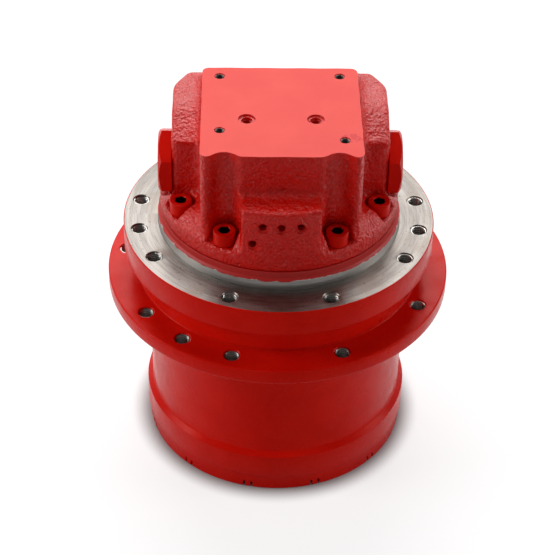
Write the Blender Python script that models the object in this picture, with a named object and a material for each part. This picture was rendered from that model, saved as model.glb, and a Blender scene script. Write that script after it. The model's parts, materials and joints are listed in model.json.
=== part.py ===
"""Excavator final drive: piston motor, spindle hub and a drum with two planetary stages.

Metres, +Z up. The origin is at the middle of the lower rim, and the motor is on top.
The drum turns about +Z; the frame side, with the motor, stands still.
"""

import math

import bmesh
import bpy
from mathutils import Matrix

# Clearances
GAP = 0.0003
RUNNING_GAP = 0.0015
BACKLASH = 0.0005

# Cleaning of cut faces
WELD_DISTANCE = 0.000004
SLIVER_AREA = 1e-12
FLAT_ANGLE = math.radians(0.3)

# Fineness of round pieces
ROUND = 36
INNER_ROUND = 16
SMALL_ROUND = 8
VALVE_ROUND = 12

# Shape of a rounded edge: a half gives a true arc
ARC_PROFILE = 1 / 2

# Drum housing, from the lower rim up
FOOT_STEP = 0.0024
FOOT_HEIGHT = 0.0139
BAND_STEP = 0.0016
BAND_HEIGHT = 0.0358
BAND_CHAMFER = 0.0030
DRUM_WALL = 0.0063
NECK_FILLET = 0.0080
SPROCKET_FLANGE_EDGE = 0.0128
SPROCKET_FLANGE_THICKNESS = 0.0120
SPROCKET_FLANGE_RISE = 0.0167
SPROCKET_CHAMFER = 0.0015
COLLAR_WALL = 0.0086
COLLAR_HEIGHT = 0.0211
RIM_WALL = 0.0037
SPROCKET_HOLE_STEP = 0.0104
SPROCKET_HOLE_START = math.radians(22.8)
SPROCKET_HOLE_COUNT = 9
TAPPED_RADIUS = 0.0057

# Staked tabs at the lower rim
TAB_COUNT = 12
TAB_START = math.radians(17.3)
TAB_HALF_ANGLE = math.radians(1.65)
SLOT_WIDTH = 0.0018
SLOT_HEIGHT = 0.0055
TAB_REACH = 0.0022

# End cover
COVER_RECESS = 0.0020
COVER_THICKNESS = 0.0120
COVER_CHAMFER = 0.0025
COVER_DISH_STEP = 0.0140
COVER_DISH_DEPTH = 0.0025
DRAIN_RADIUS = 0.0085
DRAIN_STEP = 0.0225
SEAL_GROOVE = 0.0020
RIM_SEAL_LAND = 0.0025

# Gears: both stages share the ring teeth cut in the drum
MODULE = 0.0025
PRESSURE_ANGLE = math.radians(20)
RING_TEETH = 60
SUN_1_TEETH = 12
SUN_2_TEETH = 18
PLANETS = 3
STAGE_1_FACE = 0.0200
STAGE_2_FACE = 0.0265
CARRIER_THICKNESS = 0.0080
FACE_GAP = 0.0010
PIN_1_RADIUS = 0.0100
PIN_2_RADIUS = 0.0110
PIN_HEAD_RIM = 0.0030
CARRIER_RADIUS = 0.0680
SUN_2_BORE = 0.0112
SUN_2_SHANK = 0.0160

# Main bearings
BEARING_WIDTH = 0.0220
BEARING_SPREAD = 0.0006
INNER_SEAT_WALL = 0.0100
BEARING_SECTION = 0.0215
RACE_WALL = 0.0075
NUT_WIDTH = 0.0058
NUT_SECTION = 0.0065
NUT_THREAD_DEPTH = 0.0020
NUT_CLEARANCE = 0.0035

# Spindle hub and frame flange
FRAME_FLANGE_EDGE = 0.0109
FRAME_FLANGE_THICKNESS = 0.0209
FLANGE_EDGE = 0.0008
PILOT_STEP = 0.0020
PILOT_HEIGHT = 0.0074
HUB_HEIGHT = 0.0140
FRAME_HOLE_STEP = 0.0150
FRAME_HOLE_ANGLES = [20 + 40 * k for k in range(9)] + [80, -80]
HUB_NECK_STEP = 0.0050
SEAL_BORE_STEP = 0.0055
SEAL_SECTION = 0.0130
SEAL_RING_HEIGHT = 0.0085
SEAL_RING_LIP = 0.0038
SEAL_RING_WALL = 0.0050
SEAL_RING_OVERHANG = 0.0020
SEAL_SINK = 0.0035
SEAL_DEPTH = 0.0110
FACE_SEAL_LAND = 0.0022
FACE_SEAL_WIDTH = 0.0030

# Motor shaft and its bearings
SHAFT_RADIUS = 0.0125
SHAFT_TAIL_RADIUS = 0.0090
SHAFT_SEAT = 0.0150
TOP_SEAT = 0.0100
SHAFT_STEP_RISE = 0.0040
LOWER_BEARING_RADIUS = 0.0260
LOWER_BEARING_WIDTH = 0.0150
OIL_SEAL_RADIUS = 0.0230
OIL_SEAL_WIDTH = 0.0080
HUB_END_BORE = 0.0180
TOP_BEARING_RADIUS = 0.0200
TOP_BEARING_WIDTH = 0.0130
SHAFT_TOP_RECESS = 0.0030

# Piston motor
SWASH_CLEARANCE = 0.0080
MOTOR_FLOOR_DROP = 0.0100
SWASH_RIM = 0.0210
SWASH_LOW_SIDE = 0.0060
SWASH_TILT = math.radians(13)
SWASH_BORE = 0.0190
PISTONS = 7
PISTON_RADIUS = 0.0088
BALL_RADIUS = 0.0066
BALL_HEIGHT = 0.0095
PISTON_NECK = 0.0048
SHOE_RADIUS = 0.0112
SHOE_SPACING = 0.00225
SHOE_THICKNESS = 0.0030
SHOE_NECK = 0.0082
RETAINER_THICKNESS = 0.0025
RETAINER_RIM = 0.0040
BLOCK_RIM = 0.0120
BLOCK_RISE = 0.0216
BORE_FLOOR = 0.0050
VALVE_PLATE_THICKNESS = 0.0040

# Parking brake
BRAKE_CAVITY_STEP = 0.0060
BRAKE_DEPTH = 0.0382
BRAKE_RING_STEP = 0.0030
PLATE_THICKNESS = 0.0030
BRAKE_PISTON_HEIGHT = 0.0270
BRAKE_SPRING_THICKNESS = 0.0015
BRAKE_SPRING_INNER_LAND = 0.0030
BRAKE_SPRING_OUTER_LAND = 0.0010

# Motor cover casting
SCREW_EDGE = 0.0097
COVER_EDGE = 0.0010
COVER_SLOPES = [(0.0040, 0.0050), (0.0103, 0.0)]
COVER_SEAT_HEIGHT = 0.0112
COVER_SHOULDER = 0.0215
TOP_ABOVE_VALVE = 0.0460
BLOCK_SIDE_STEP = 0.0213
BLOCK_FRONT_STEP = 0.0153
BLOCK_BACK_STEP = 0.0253
CAST_RADIUS = 0.0050
LOBE_STEP = 0.0095
LOBE_TOP_DROP = 0.0060
LOBE_FRONT = 0.0204
LOBE_BACK = 0.0440
LOBE_SLOPE = 0.0200
PAD_HALF_WIDTH = 0.0280
PAD_HEIGHT = 0.0497
SCREW_WALL = 0.0123
SCREW_ANGLES = [30.7, 66.4, 149.3, 180, -149.3, -66.4, -30.7]
POCKET_RADIUS = 0.0108
PAD_HOLES = [(-0.0130, 0.0370), (0.0, 0.0370), (0.0135, 0.0370), (-0.0200, 0.0216)]
PAD_HOLE_RADIUS = 0.0025
TOP_HOLES = [(-0.0443, 0.0414), (0.0437, 0.0420), (-0.0435, -0.0300), (0.0443, -0.0418)]
TOP_HOLE_RADIUS = 0.0034
PORTS = [(-0.0245, -0.0155), (0.0245, -0.0155)]
PORT_RADIUS = 0.0040
PORT_SINK_RADIUS = 0.0062
PORT_SINK_DEPTH = 0.0015
HOLE_DEPTH = 0.0160

# Counterbalance valve, across the cover
VALVE_HEIGHT = 0.0347
SPOOL_RADIUS = 0.0120
SPOOL_HALF_LENGTH = 0.0360
SPOOL_STROKE = 0.0050
CHAMBER_RADIUS = 0.0165
CHAMBER_START = 0.0420
SPRING_RADIUS = 0.0085
SPRING_WIRE = 0.0013
SPRING_TURNS = 3
PLUG_FLATS = 0.0440
PLUG_SHANK = 0.0150
PLUG_HEAD = 0.0106
SPOT_DEPTH = 0.0006

# Cover screws, M10 socket head
SCREW_RADIUS = 0.0050
SCREW_HEAD_RADIUS = 0.0080
SCREW_HEAD_HEIGHT = 0.0100
SCREW_HEAD_EDGE = 0.0008
SCREW_SOCKET_FLATS = 0.0080
SCREW_SOCKET_DEPTH = 0.0050
SCREW_LENGTH = 0.0300
SCREW_TIP_GAP = 0.0020

# Heights that follow from the sizes above, from the lower rim up
COVER_INNER = COVER_RECESS + COVER_THICKNESS
STAGE_1_LOW = COVER_INNER + 2.5 * FACE_GAP
STAGE_1_HIGH = STAGE_1_LOW + STAGE_1_FACE
CARRIER_LOW = STAGE_1_HIGH + 2 * FACE_GAP
CARRIER_HIGH = CARRIER_LOW + CARRIER_THICKNESS
STAGE_2_LOW = CARRIER_HIGH + 3 * FACE_GAP
STAGE_2_HIGH = STAGE_2_LOW + STAGE_2_FACE
HUB_END = STAGE_2_HIGH + FACE_GAP
NUT_LOW = HUB_END + GAP
LOWER_BEARING_LOW = NUT_LOW + NUT_WIDTH + GAP
LOWER_BEARING_HIGH = LOWER_BEARING_LOW + BEARING_WIDTH
UPPER_BEARING_LOW = LOWER_BEARING_HIGH + BEARING_SPREAD
UPPER_BEARING_HIGH = UPPER_BEARING_LOW + BEARING_WIDTH
MOTOR_FLOOR = UPPER_BEARING_HIGH - MOTOR_FLOOR_DROP
LOWER_SHAFT_BEARING_LOW = MOTOR_FLOOR - LOWER_BEARING_WIDTH - 2 * GAP
SPROCKET_FLANGE_TOP = UPPER_BEARING_HIGH + SPROCKET_FLANGE_RISE
COLLAR_TOP = SPROCKET_FLANGE_TOP + COLLAR_HEIGHT
SEAL_PLANE = COLLAR_TOP - SEAL_SINK
FRAME_FLANGE_LOW = COLLAR_TOP + RUNNING_GAP
FRAME_FLANGE_TOP = FRAME_FLANGE_LOW + FRAME_FLANGE_THICKNESS
HUB_TOP = FRAME_FLANGE_TOP + HUB_HEIGHT
BRAKE_STEP = HUB_TOP - BRAKE_DEPTH
COVER_BASE = HUB_TOP + GAP
VALVE_PLATE_LOW = COVER_BASE - GAP - VALVE_PLATE_THICKNESS
SCREW_SEAT = COVER_BASE + COVER_SEAT_HEIGHT
SHOULDER_TOP = COVER_BASE + COVER_SHOULDER
VALVE_AXIS = COVER_BASE + VALVE_HEIGHT
MOTOR_TOP = VALVE_AXIS + TOP_ABOVE_VALVE

# Radii that follow, from the pistons out
PISTON_CIRCLE = (SHOE_RADIUS + SHOE_SPACING) / math.sin(math.pi / PISTONS)
BLOCK_RADIUS = PISTON_CIRCLE + BLOCK_RIM
BRAKE_INNER = BLOCK_RADIUS + BRAKE_RING_STEP
SWASH_RADIUS = PISTON_CIRCLE + SWASH_RIM
MOTOR_CAVITY = SWASH_RADIUS + SWASH_CLEARANCE
INNER_SEAT = MOTOR_CAVITY + INNER_SEAT_WALL
NUT_RADIUS = INNER_SEAT + NUT_SECTION
OUTER_SEAT = INNER_SEAT + BEARING_SECTION
DRUM_RADIUS = OUTER_SEAT + DRUM_WALL
FOOT_RADIUS = DRUM_RADIUS + FOOT_STEP
BAND_RADIUS = FOOT_RADIUS + BAND_STEP
DRAIN_CIRCLE = FOOT_RADIUS - RIM_WALL - DRAIN_STEP
COVER_DISH_RADIUS = DRAIN_CIRCLE - COVER_DISH_STEP
SEAL_BORE = OUTER_SEAT + SEAL_BORE_STEP
SEAL_INNER = SEAL_BORE - SEAL_SECTION
HUB_NECK = SEAL_INNER - HUB_NECK_STEP
COLLAR_RADIUS = SEAL_BORE + COLLAR_WALL
SPROCKET_HOLE_CIRCLE = COLLAR_RADIUS + SPROCKET_HOLE_STEP
SPROCKET_FLANGE_RADIUS = SPROCKET_HOLE_CIRCLE + SPROCKET_FLANGE_EDGE
BRAKE_CAVITY = MOTOR_CAVITY + BRAKE_CAVITY_STEP
SCREW_CIRCLE = BRAKE_CAVITY + SCREW_WALL
COVER_BASE_RADIUS = SCREW_CIRCLE + SCREW_EDGE
PILOT_RADIUS = COVER_BASE_RADIUS + PILOT_STEP
FRAME_HOLE_CIRCLE = PILOT_RADIUS + FRAME_HOLE_STEP
FRAME_FLANGE_RADIUS = FRAME_HOLE_CIRCLE + FRAME_FLANGE_EDGE

# The motor cover's forms, from the circle of its screws
BLOCK_HALF_WIDTH = SCREW_CIRCLE - BLOCK_SIDE_STEP
BLOCK_FRONT = SCREW_CIRCLE - BLOCK_FRONT_STEP
BLOCK_BACK = SCREW_CIRCLE - BLOCK_BACK_STEP
LOBE_REACH = COVER_BASE_RADIUS - LOBE_STEP
PLUG_SEAT = LOBE_REACH - SPOT_DEPTH
PLUG_INNER_END = PLUG_SEAT - PLUG_SHANK
PLUG_OUTER_X = PLUG_SEAT + PLUG_HEAD

# Gears and the piston motor
PLANET_1_TEETH = (RING_TEETH - SUN_1_TEETH) // 2
PLANET_2_TEETH = (RING_TEETH - SUN_2_TEETH) // 2
PLANET_1_CIRCLE = MODULE * (SUN_1_TEETH + PLANET_1_TEETH) / 2
PLANET_2_CIRCLE = MODULE * (SUN_2_TEETH + PLANET_2_TEETH) / 2
RING_TIP = MODULE * (RING_TEETH / 2 - 1)
BLOCK_HIGH = VALVE_PLATE_LOW - GAP
SWASH_MIDDLE = MOTOR_FLOOR + GAP + SWASH_LOW_SIDE + SWASH_RADIUS * math.tan(SWASH_TILT)
BLOCK_LOW = SWASH_MIDDLE + BLOCK_RISE

RED = (0.62, 0.012, 0.008)
DEEP_RED = (0.50, 0.009, 0.007)
STEEL = (0.52, 0.50, 0.48)
DARK_STEEL = (0.20, 0.20, 0.21)
BRONZE = (0.45, 0.27, 0.10)
RUBBER = (0.02, 0.02, 0.02)


def clear_scene():
    for old in list(bpy.data.objects):
        bpy.data.objects.remove(old, do_unlink=True)


def make_material(name, colour, metallic, roughness):
    material = bpy.data.materials.new(name)
    material.use_nodes = True
    shader = material.node_tree.nodes["Principled BSDF"]
    shader.inputs["Base Color"].default_value = (*colour, 1.0)
    shader.inputs["Metallic"].default_value = metallic
    shader.inputs["Roughness"].default_value = roughness
    material.diffuse_color = (*colour, 1.0)
    return material


def machined_paint():
    return make_material("red_paint_on_machined_steel", RED, 0.0, 0.25)


def cast_paint():
    return make_material("red_paint_on_casting", DEEP_RED, 0.0, 0.30)


def ground_steel():
    return make_material("ground_steel", STEEL, 1.0, 0.35)


def hardened_steel():
    return make_material("hardened_steel", DARK_STEEL, 1.0, 0.30)


def bearing_bronze():
    return make_material("bearing_bronze", BRONZE, 1.0, 0.40)


def seal_rubber():
    return make_material("seal_rubber", RUBBER, 0.0, 0.60)


def mesh_of(bm, name):
    """Closes up doubled points, turns all faces outwards and hands over the mesh."""
    bmesh.ops.remove_doubles(bm, verts=bm.verts, dist=WELD_DISTANCE / 2)
    bmesh.ops.recalc_face_normals(bm, faces=bm.faces)
    mesh = bpy.data.meshes.new(name)
    bm.to_mesh(mesh)
    bm.free()
    return mesh


def place(name, mesh, material, parent=None, at=(0, 0, 0), turn=0.0):
    """Puts a mesh in the scene as a named piece, at a place and turned about Z."""
    piece = bpy.data.objects.new(name, mesh)
    bpy.context.scene.collection.objects.link(piece)
    piece.location = at
    piece.rotation_euler = (0, 0, turn)
    piece.parent = parent
    if material and not mesh.materials:
        mesh.materials.append(material)
        mesh.shade_smooth()
        mesh.set_sharp_from_angle(angle=math.radians(35))
    return piece


def joint_empty(name, parent=None, at=(0, 0, 0)):
    empty = bpy.data.objects.new(name, None)
    bpy.context.scene.collection.objects.link(empty)
    empty.location = at
    empty.parent = parent
    return empty


def turned(name, profile, segments=INNER_ROUND):
    """A turned ring: a closed outline of (radius, height) points spun once round Z."""
    bm = bmesh.new()
    points = [bm.verts.new((radius, 0, height)) for radius, height in profile]
    loop = [bm.edges.new((points[k - 1], points[k])) for k in range(len(points))]
    bmesh.ops.spin(
        bm,
        geom=points + loop,
        cent=(0, 0, 0),
        axis=(0, 0, 1),
        angle=2 * math.pi,
        steps=segments,
        use_merge=True,
    )
    flat = [face for face in bm.faces if face.calc_area() < SLIVER_AREA]
    bmesh.ops.delete(bm, geom=flat, context="FACES_ONLY")
    lone = [edge for edge in bm.edges if not edge.link_faces]
    bmesh.ops.delete(bm, geom=lone, context="EDGES")
    return mesh_of(bm, name)


def ring(name, inner, outer, low, high, segments=INNER_ROUND):
    return turned(name, [(inner, low), (outer, low), (outer, high), (inner, high)], segments)


def extruded(name, outline, low, high):
    """A prism over a flat outline of (x, y) points."""
    bm = bmesh.new()
    face = bm.faces.new([bm.verts.new((x, y, low)) for x, y in outline])
    grown = bmesh.ops.extrude_face_region(bm, geom=[face])
    raised = [item for item in grown["geom"] if isinstance(item, bmesh.types.BMVert)]
    bmesh.ops.translate(bm, verts=raised, vec=(0, 0, high - low))
    return mesh_of(bm, name)


def rod(name, radius, low, high, segments=INNER_ROUND, chamfer=0.0):
    """A round bar along Z, with an optional chamfer at its upper end."""
    bm = bmesh.new()
    bmesh.ops.create_cone(
        bm,
        cap_ends=True,
        segments=segments,
        radius1=radius,
        radius2=radius,
        depth=high - low,
        matrix=Matrix.Translation((0, 0, (low + high) / 2)),
    )
    if chamfer:
        rim = [
            edge
            for edge in bm.edges
            if all(vert.co.z > high - chamfer / 10 for vert in edge.verts)
        ]
        bmesh.ops.bevel(bm, geom=rim, offset=chamfer, segments=1, affect="EDGES")
    return mesh_of(bm, name)


def joined_copies(name, mesh, matrices):
    """One mesh that holds a copy of the given mesh at each matrix, for cutting a pattern."""
    bm = bmesh.new()
    for matrix in matrices:
        first = len(bm.verts)
        bm.from_mesh(mesh)
        bm.verts.ensure_lookup_table()
        bmesh.ops.transform(bm, matrix=matrix, verts=bm.verts[first:])
    result = bpy.data.meshes.new(name)
    bm.to_mesh(result)
    bm.free()
    return result


def around(radius, angles, height=0.0):
    """Matrices that carry a shape to a circle, with its +X turned outwards."""
    return [
        Matrix.Rotation(angle, 4, "Z") @ Matrix.Translation((radius, 0, height))
        for angle in angles
    ]


def combine(piece, mesh, operation):
    """Cuts a mesh from a piece, or joins it on, as a Boolean with a hidden helper.

    Both are made of triangles first, because a face with more corners is never quite flat.
    """
    helper = bpy.data.objects.new(piece.name + "_" + mesh.name, mesh)
    bpy.context.scene.collection.objects.link(helper)
    helper.parent = piece
    helper.hide_render = True
    helper.display_type = "WIRE"
    piece.modifiers.new("plane_faces", "TRIANGULATE")
    helper.modifiers.new("plane_faces", "TRIANGULATE")
    boolean = piece.modifiers.new(mesh.name, "BOOLEAN")
    boolean.operation = operation
    boolean.solver = "EXACT"
    boolean.use_hole_tolerant = True
    boolean.object = helper


def merge_flat_faces():
    """Welds the slivers that cuts leave, and merges the triangles of each flat face."""
    for piece in bpy.data.objects:
        if any(modifier.type == "BOOLEAN" for modifier in piece.modifiers):
            weld = piece.modifiers.new("weld_slivers", "WELD")
            weld.merge_threshold = WELD_DISTANCE
            merge = piece.modifiers.new("merge_flat_faces", "DECIMATE")
            merge.decimate_type = "DISSOLVE"
            merge.angle_limit = FLAT_ANGLE


def cut(piece, mesh):
    combine(piece, mesh, "DIFFERENCE")


def join(piece, mesh):
    combine(piece, mesh, "UNION")


def involute(angle):
    return math.tan(angle) - angle


def tooth_half_angle(radius, teeth, internal):
    """Half the angle that an involute tooth takes up at a radius."""
    pitch = MODULE * teeth / 2
    base = pitch * math.cos(PRESSURE_ANGLE)
    local = math.acos(min(1.0, base / radius))
    flank = involute(PRESSURE_ANGLE) - involute(local)
    middle = (math.pi * MODULE - BACKLASH) / 4 / pitch
    return middle - flank if internal else middle + flank


def gear_outline(teeth, internal=False):
    """Points of a gear's teeth, the first tooth centred on +X, with straight flanks."""
    pitch = MODULE * teeth / 2
    outward = -1 if internal else 1
    tip = pitch + outward * MODULE
    root = pitch - outward * 1.25 * MODULE
    tip_half = tooth_half_angle(tip, teeth, internal)
    root_half = tooth_half_angle(root, teeth, internal)
    if internal:
        # A hollow flank is kept behind its chord: the line from tip to pitch, drawn on.
        pitch_half = tooth_half_angle(pitch, teeth, internal)
        root_half = pitch_half + (pitch_half - tip_half) * 1.25
    points = []
    for tooth in range(teeth):
        middle = 2 * math.pi * tooth / teeth
        for radius, half in ((root, -root_half), (tip, -tip_half), (tip, tip_half), (root, root_half)):
            angle = middle + half
            points.append((radius * math.cos(angle), radius * math.sin(angle)))
    return points


def bore_for(radius, segments=INNER_ROUND):
    """Radius of a faceted bore whose flats clear a round piece by the common gap."""
    return (radius + GAP) / math.cos(math.pi / segments)


def fit_in(bore, segments=ROUND):
    """Radius of a round piece that clears the flats of a faceted bore by the common gap."""
    return bore * math.cos(math.pi / segments) - GAP


def arc(centre, radius, start, end, steps):
    """Points on an arc in the (radius, height) plane, angles in degrees."""
    points = []
    for k in range(steps + 1):
        angle = math.radians(start + (end - start) * k / steps)
        points.append((centre[0] + radius * math.cos(angle), centre[1] + radius * math.sin(angle)))
    return points


def hexagon(flats):
    corner = flats / math.sqrt(3)
    return [
        (corner * math.cos(math.radians(60 * k)), corner * math.sin(math.radians(60 * k)))
        for k in range(6)
    ]


def toric(name, inner, outer, middle, segments=ROUND, sides=4):
    """A round section ring that fills the space between two radii."""
    radius = (outer - inner) / 2
    centre = ((outer + inner) / 2, middle)
    return turned(name, arc(centre, radius, 0, 360 - 360 / sides, sides - 1), segments)


def tapped_holes(name, circle, angles, low, high):
    """Through holes on a circle, at the major diameter of their thread."""
    hole = rod(name + "_one", TAPPED_RADIUS, low - FACE_GAP, high + FACE_GAP, SMALL_ROUND)
    return joined_copies(name, hole, around(circle, angles))


def build_housing(spin):
    """The drum: end cover seat and staked rim, ring teeth, bearing seats, flange and collar."""
    flange_low = SPROCKET_FLANGE_TOP - SPROCKET_FLANGE_THICKNESS
    rim_inner = FOOT_RADIUS - RIM_WALL
    relief = NUT_RADIUS + NUT_CLEARANCE
    step = (BAND_RADIUS - FOOT_RADIUS) / 2
    fillet = arc((DRUM_RADIUS + NECK_FILLET, flange_low - NECK_FILLET), NECK_FILLET, 180, 90, 3)
    outside = [
        (rim_inner, 0),
        (FOOT_RADIUS, 0),
        (FOOT_RADIUS, FOOT_HEIGHT),
        (BAND_RADIUS, FOOT_HEIGHT + step),
        (BAND_RADIUS, BAND_HEIGHT - BAND_CHAMFER / 2),
        (DRUM_RADIUS, BAND_HEIGHT + BAND_CHAMFER / 2),
        *fillet,
        (SPROCKET_FLANGE_RADIUS - SPROCKET_CHAMFER, flange_low),
        (SPROCKET_FLANGE_RADIUS, flange_low + SPROCKET_CHAMFER),
        (SPROCKET_FLANGE_RADIUS, SPROCKET_FLANGE_TOP - SPROCKET_CHAMFER),
        (SPROCKET_FLANGE_RADIUS - SPROCKET_CHAMFER, SPROCKET_FLANGE_TOP),
        (COLLAR_RADIUS + SPROCKET_CHAMFER, SPROCKET_FLANGE_TOP),
        (COLLAR_RADIUS, SPROCKET_FLANGE_TOP + SPROCKET_CHAMFER),
        (COLLAR_RADIUS, COLLAR_TOP),
    ]
    inside = [
        (SEAL_BORE, COLLAR_TOP),
        (SEAL_BORE, SEAL_PLANE - SEAL_DEPTH),
        (OUTER_SEAT, SEAL_PLANE - SEAL_DEPTH),
        (OUTER_SEAT, LOWER_BEARING_LOW - GAP),
        (relief, LOWER_BEARING_LOW - GAP),
        (relief, HUB_END),
        (RING_TIP - MODULE / 4, HUB_END),
        (RING_TIP - MODULE / 4, COVER_INNER + GAP),
        (rim_inner, COVER_INNER + GAP),
    ]
    housing = place("drum_housing", turned("drum", outside + inside, ROUND), machined_paint(), spin)
    teeth = gear_outline(RING_TEETH, internal=True)
    beyond = FACE_GAP
    cut(housing, extruded("ring_teeth", teeth, COVER_INNER + GAP - beyond, HUB_END + beyond))
    pitch = 2 * math.pi / SPROCKET_HOLE_COUNT
    angles = [SPROCKET_HOLE_START + pitch * k for k in range(SPROCKET_HOLE_COUNT)]
    angles.append(angles[0] - pitch * 1.5)
    front = [angle - math.pi / 2 for angle in angles]
    holes = tapped_holes("holes", SPROCKET_HOLE_CIRCLE, front, flange_low, SPROCKET_FLANGE_TOP)
    cut(housing, holes)
    tabs = [TAB_START + 2 * math.pi * k / TAB_COUNT - math.pi / 2 for k in range(TAB_COUNT)]
    cut(housing, stake_slots(tabs, rim_inner))
    join(housing, bent_tabs(tabs, rim_inner))
    return housing


def stake_slots(tabs, rim_inner):
    """Pairs of saw slots through the lower rim, one on each side of each tab."""
    sides = [tab + side * TAB_HALF_ANGLE for tab in tabs for side in (-1, 1)]
    outside = FOOT_RADIUS + RIM_WALL
    inside = rim_inner - RIM_WALL
    half = SLOT_WIDTH / 2
    outline = [(inside, -half), (outside, -half), (outside, half), (inside, half)]
    slot = extruded("one_slot", outline, -SLOT_HEIGHT, SLOT_HEIGHT)
    return joined_copies("slots", slot, around(0, sides))


def bent_tabs(tabs, rim_inner):
    """The part of each tab that is bent in over the chamfer of the end cover."""
    tab_half = FOOT_RADIUS * TAB_HALF_ANGLE - SLOT_WIDTH / 2 - GAP
    high = COVER_RECESS + COVER_CHAMFER
    back = rim_inner + RIM_WALL / 2
    lip = [
        (back, FLANGE_EDGE),
        (back, high),
        (rim_inner, high - GAP),
        (rim_inner - TAB_REACH, high - GAP - TAB_REACH),
        (rim_inner - TAB_REACH, FLANGE_EDGE),
    ]
    upright = Matrix(((1, 0, 0, 0), (0, 0, -1, 0), (0, 1, 0, 0), (0, 0, 0, 1)))
    tab = extruded("one_tab", lip, -tab_half, tab_half)
    tab.transform(upright)
    return joined_copies("tabs", tab, around(0, tabs))


def build_end_cover(spin):
    """The lower cover: chamfered rim under the tabs, seal groove, dished middle, two plugs."""
    radius = FOOT_RADIUS - RIM_WALL - GAP
    groove_low = COVER_RECESS + COVER_CHAMFER + RIM_SEAL_LAND
    groove_high = groove_low + SEAL_GROOVE + GAP
    dish = COVER_RECESS + COVER_DISH_DEPTH
    profile = [
        (0, dish),
        (COVER_DISH_RADIUS - COVER_DISH_DEPTH, dish),
        (COVER_DISH_RADIUS, COVER_RECESS),
        (radius - COVER_CHAMFER, COVER_RECESS),
        (radius, COVER_RECESS + COVER_CHAMFER),
        (radius, groove_low),
        (radius - SEAL_GROOVE, groove_low),
        (radius - SEAL_GROOVE, groove_high),
        (radius, groove_high),
        (radius, COVER_INNER),
        (0, COVER_INNER),
    ]
    cover = place("end_cover", turned("end_cover", profile, ROUND), machined_paint(), spin)
    hole = rod("plug_hole", bore_for(DRAIN_RADIUS, SMALL_ROUND), -COVER_RECESS, STAGE_1_HIGH, SMALL_ROUND)
    sides = [0, math.pi]
    cut(cover, joined_copies("plug_holes", hole, around(DRAIN_CIRCLE, sides)))
    seal = toric(
        "end_cover_seal",
        radius - SEAL_GROOVE + GAP,
        radius,
        (groove_low + groove_high) / 2,
    )
    place("end_cover_seal_ring", seal, seal_rubber(), spin)
    for name, side in zip(("fill_plug", "drain_plug"), sides):
        at = (DRAIN_CIRCLE * math.cos(side), DRAIN_CIRCLE * math.sin(side), 0)
        body = rod(name, DRAIN_RADIUS, COVER_RECESS, COVER_INNER - GAP, SMALL_ROUND)
        plug = place(name, body, hardened_steel(), spin, at)
        socket = extruded("socket", hexagon(SCREW_SOCKET_FLATS), 0, COVER_RECESS + SCREW_SOCKET_DEPTH)
        cut(plug, socket)


def build_main_bearings(spin):
    """Two angular contact bearings side by side; each ball set is a track between races."""
    for name, low in (("lower", LOWER_BEARING_LOW), ("upper", UPPER_BEARING_LOW)):
        high = low + BEARING_WIDTH
        middle = (low + high) / 2
        shoulder = RACE_WALL * 1.25
        inner_low, inner_high = (shoulder, RACE_WALL) if name == "lower" else (RACE_WALL, shoulder)
        inner_race = bore_for(INNER_SEAT)
        inner = [
            (inner_race, low),
            (INNER_SEAT + inner_low, low),
            (INNER_SEAT + RACE_WALL * 0.7, middle),
            (INNER_SEAT + inner_high, high),
            (inner_race, high),
        ]
        outer_race = fit_in(OUTER_SEAT)
        outer = [
            (outer_race - inner_high, low),
            (outer_race, low),
            (outer_race, high),
            (outer_race - inner_low, high),
            (outer_race - RACE_WALL * 0.7, middle),
        ]
        place(name + "_bearing_inner_race", turned("inner", inner), hardened_steel())
        place(name + "_bearing_outer_race", turned("outer", outer), hardened_steel(), spin)
    nut = ring("nut", bore_for(INNER_SEAT - NUT_THREAD_DEPTH), NUT_RADIUS, NUT_LOW, NUT_LOW + NUT_WIDTH)
    place("bearing_nut", nut, hardened_steel())


def seal_profile(sign):
    """Half section of one metal ring of the floating seal, mirrored by the sign."""
    face = SEAL_PLANE + sign * GAP / 2
    lip = face + sign * SEAL_RING_LIP
    end = face + sign * SEAL_RING_HEIGHT
    body = SEAL_INNER + SEAL_RING_WALL
    lip_radius = fit_in(SEAL_BORE) - SEAL_RING_OVERHANG
    points = [(SEAL_INNER, face), (lip_radius, face), (lip_radius, lip), (body, lip), (body, end), (SEAL_INNER, end)]
    return points if sign > 0 else points[::-1]


def squeezed_cord(inner, outer, middle, half_height):
    """Section of a rubber cord pressed flat between two walls and two end faces."""
    corner = half_height * math.tan(math.radians(22.5))
    return [
        (inner, middle - corner),
        (inner + half_height - corner, middle - half_height),
        (outer - half_height + corner, middle - half_height),
        (outer, middle - corner),
        (outer, middle + corner),
        (outer - half_height + corner, middle + half_height),
        (inner + half_height - corner, middle + half_height),
        (inner, middle + corner),
    ]


def build_floating_seal(spin):
    """Two lapped metal rings face to face, each carried by a squeezed rubber toric ring."""
    room = SEAL_DEPTH - SEAL_RING_LIP
    inner = bore_for(SEAL_INNER + SEAL_RING_WALL)
    outer = fit_in(SEAL_BORE)
    middle = SEAL_RING_LIP + room / 2 + GAP / 2
    for name, sign, parent in (("fixed", 1, None), ("turning", -1, spin)):
        metal = turned(name, seal_profile(sign))
        place(name + "_seal_ring", metal, hardened_steel(), parent)
        cord = squeezed_cord(inner, outer, SEAL_PLANE + sign * middle, room / 2 - GAP)
        soft = turned(name + "_toric", cord)
        place(name + "_toric_ring", soft, seal_rubber(), parent)


def planet_turn(direction, teeth):
    """Turn of a planet that puts one of its spaces on the ring tooth it faces."""
    ring_share = (-direction * RING_TEETH / (2 * math.pi)) % 1 + 0.5
    return direction + ring_share * 2 * math.pi / teeth


def sun_turn(planet_teeth, sun_teeth):
    """Turn of a sun gear that meshes with the planet in the direction of +X."""
    planet = planet_turn(0, planet_teeth)
    share = (-(planet - math.pi) * planet_teeth / (2 * math.pi)) % 1 + 0.5
    return share * 2 * math.pi / sun_teeth


def planet_directions():
    return [2 * math.pi * k / PLANETS for k in range(PLANETS)]


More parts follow.
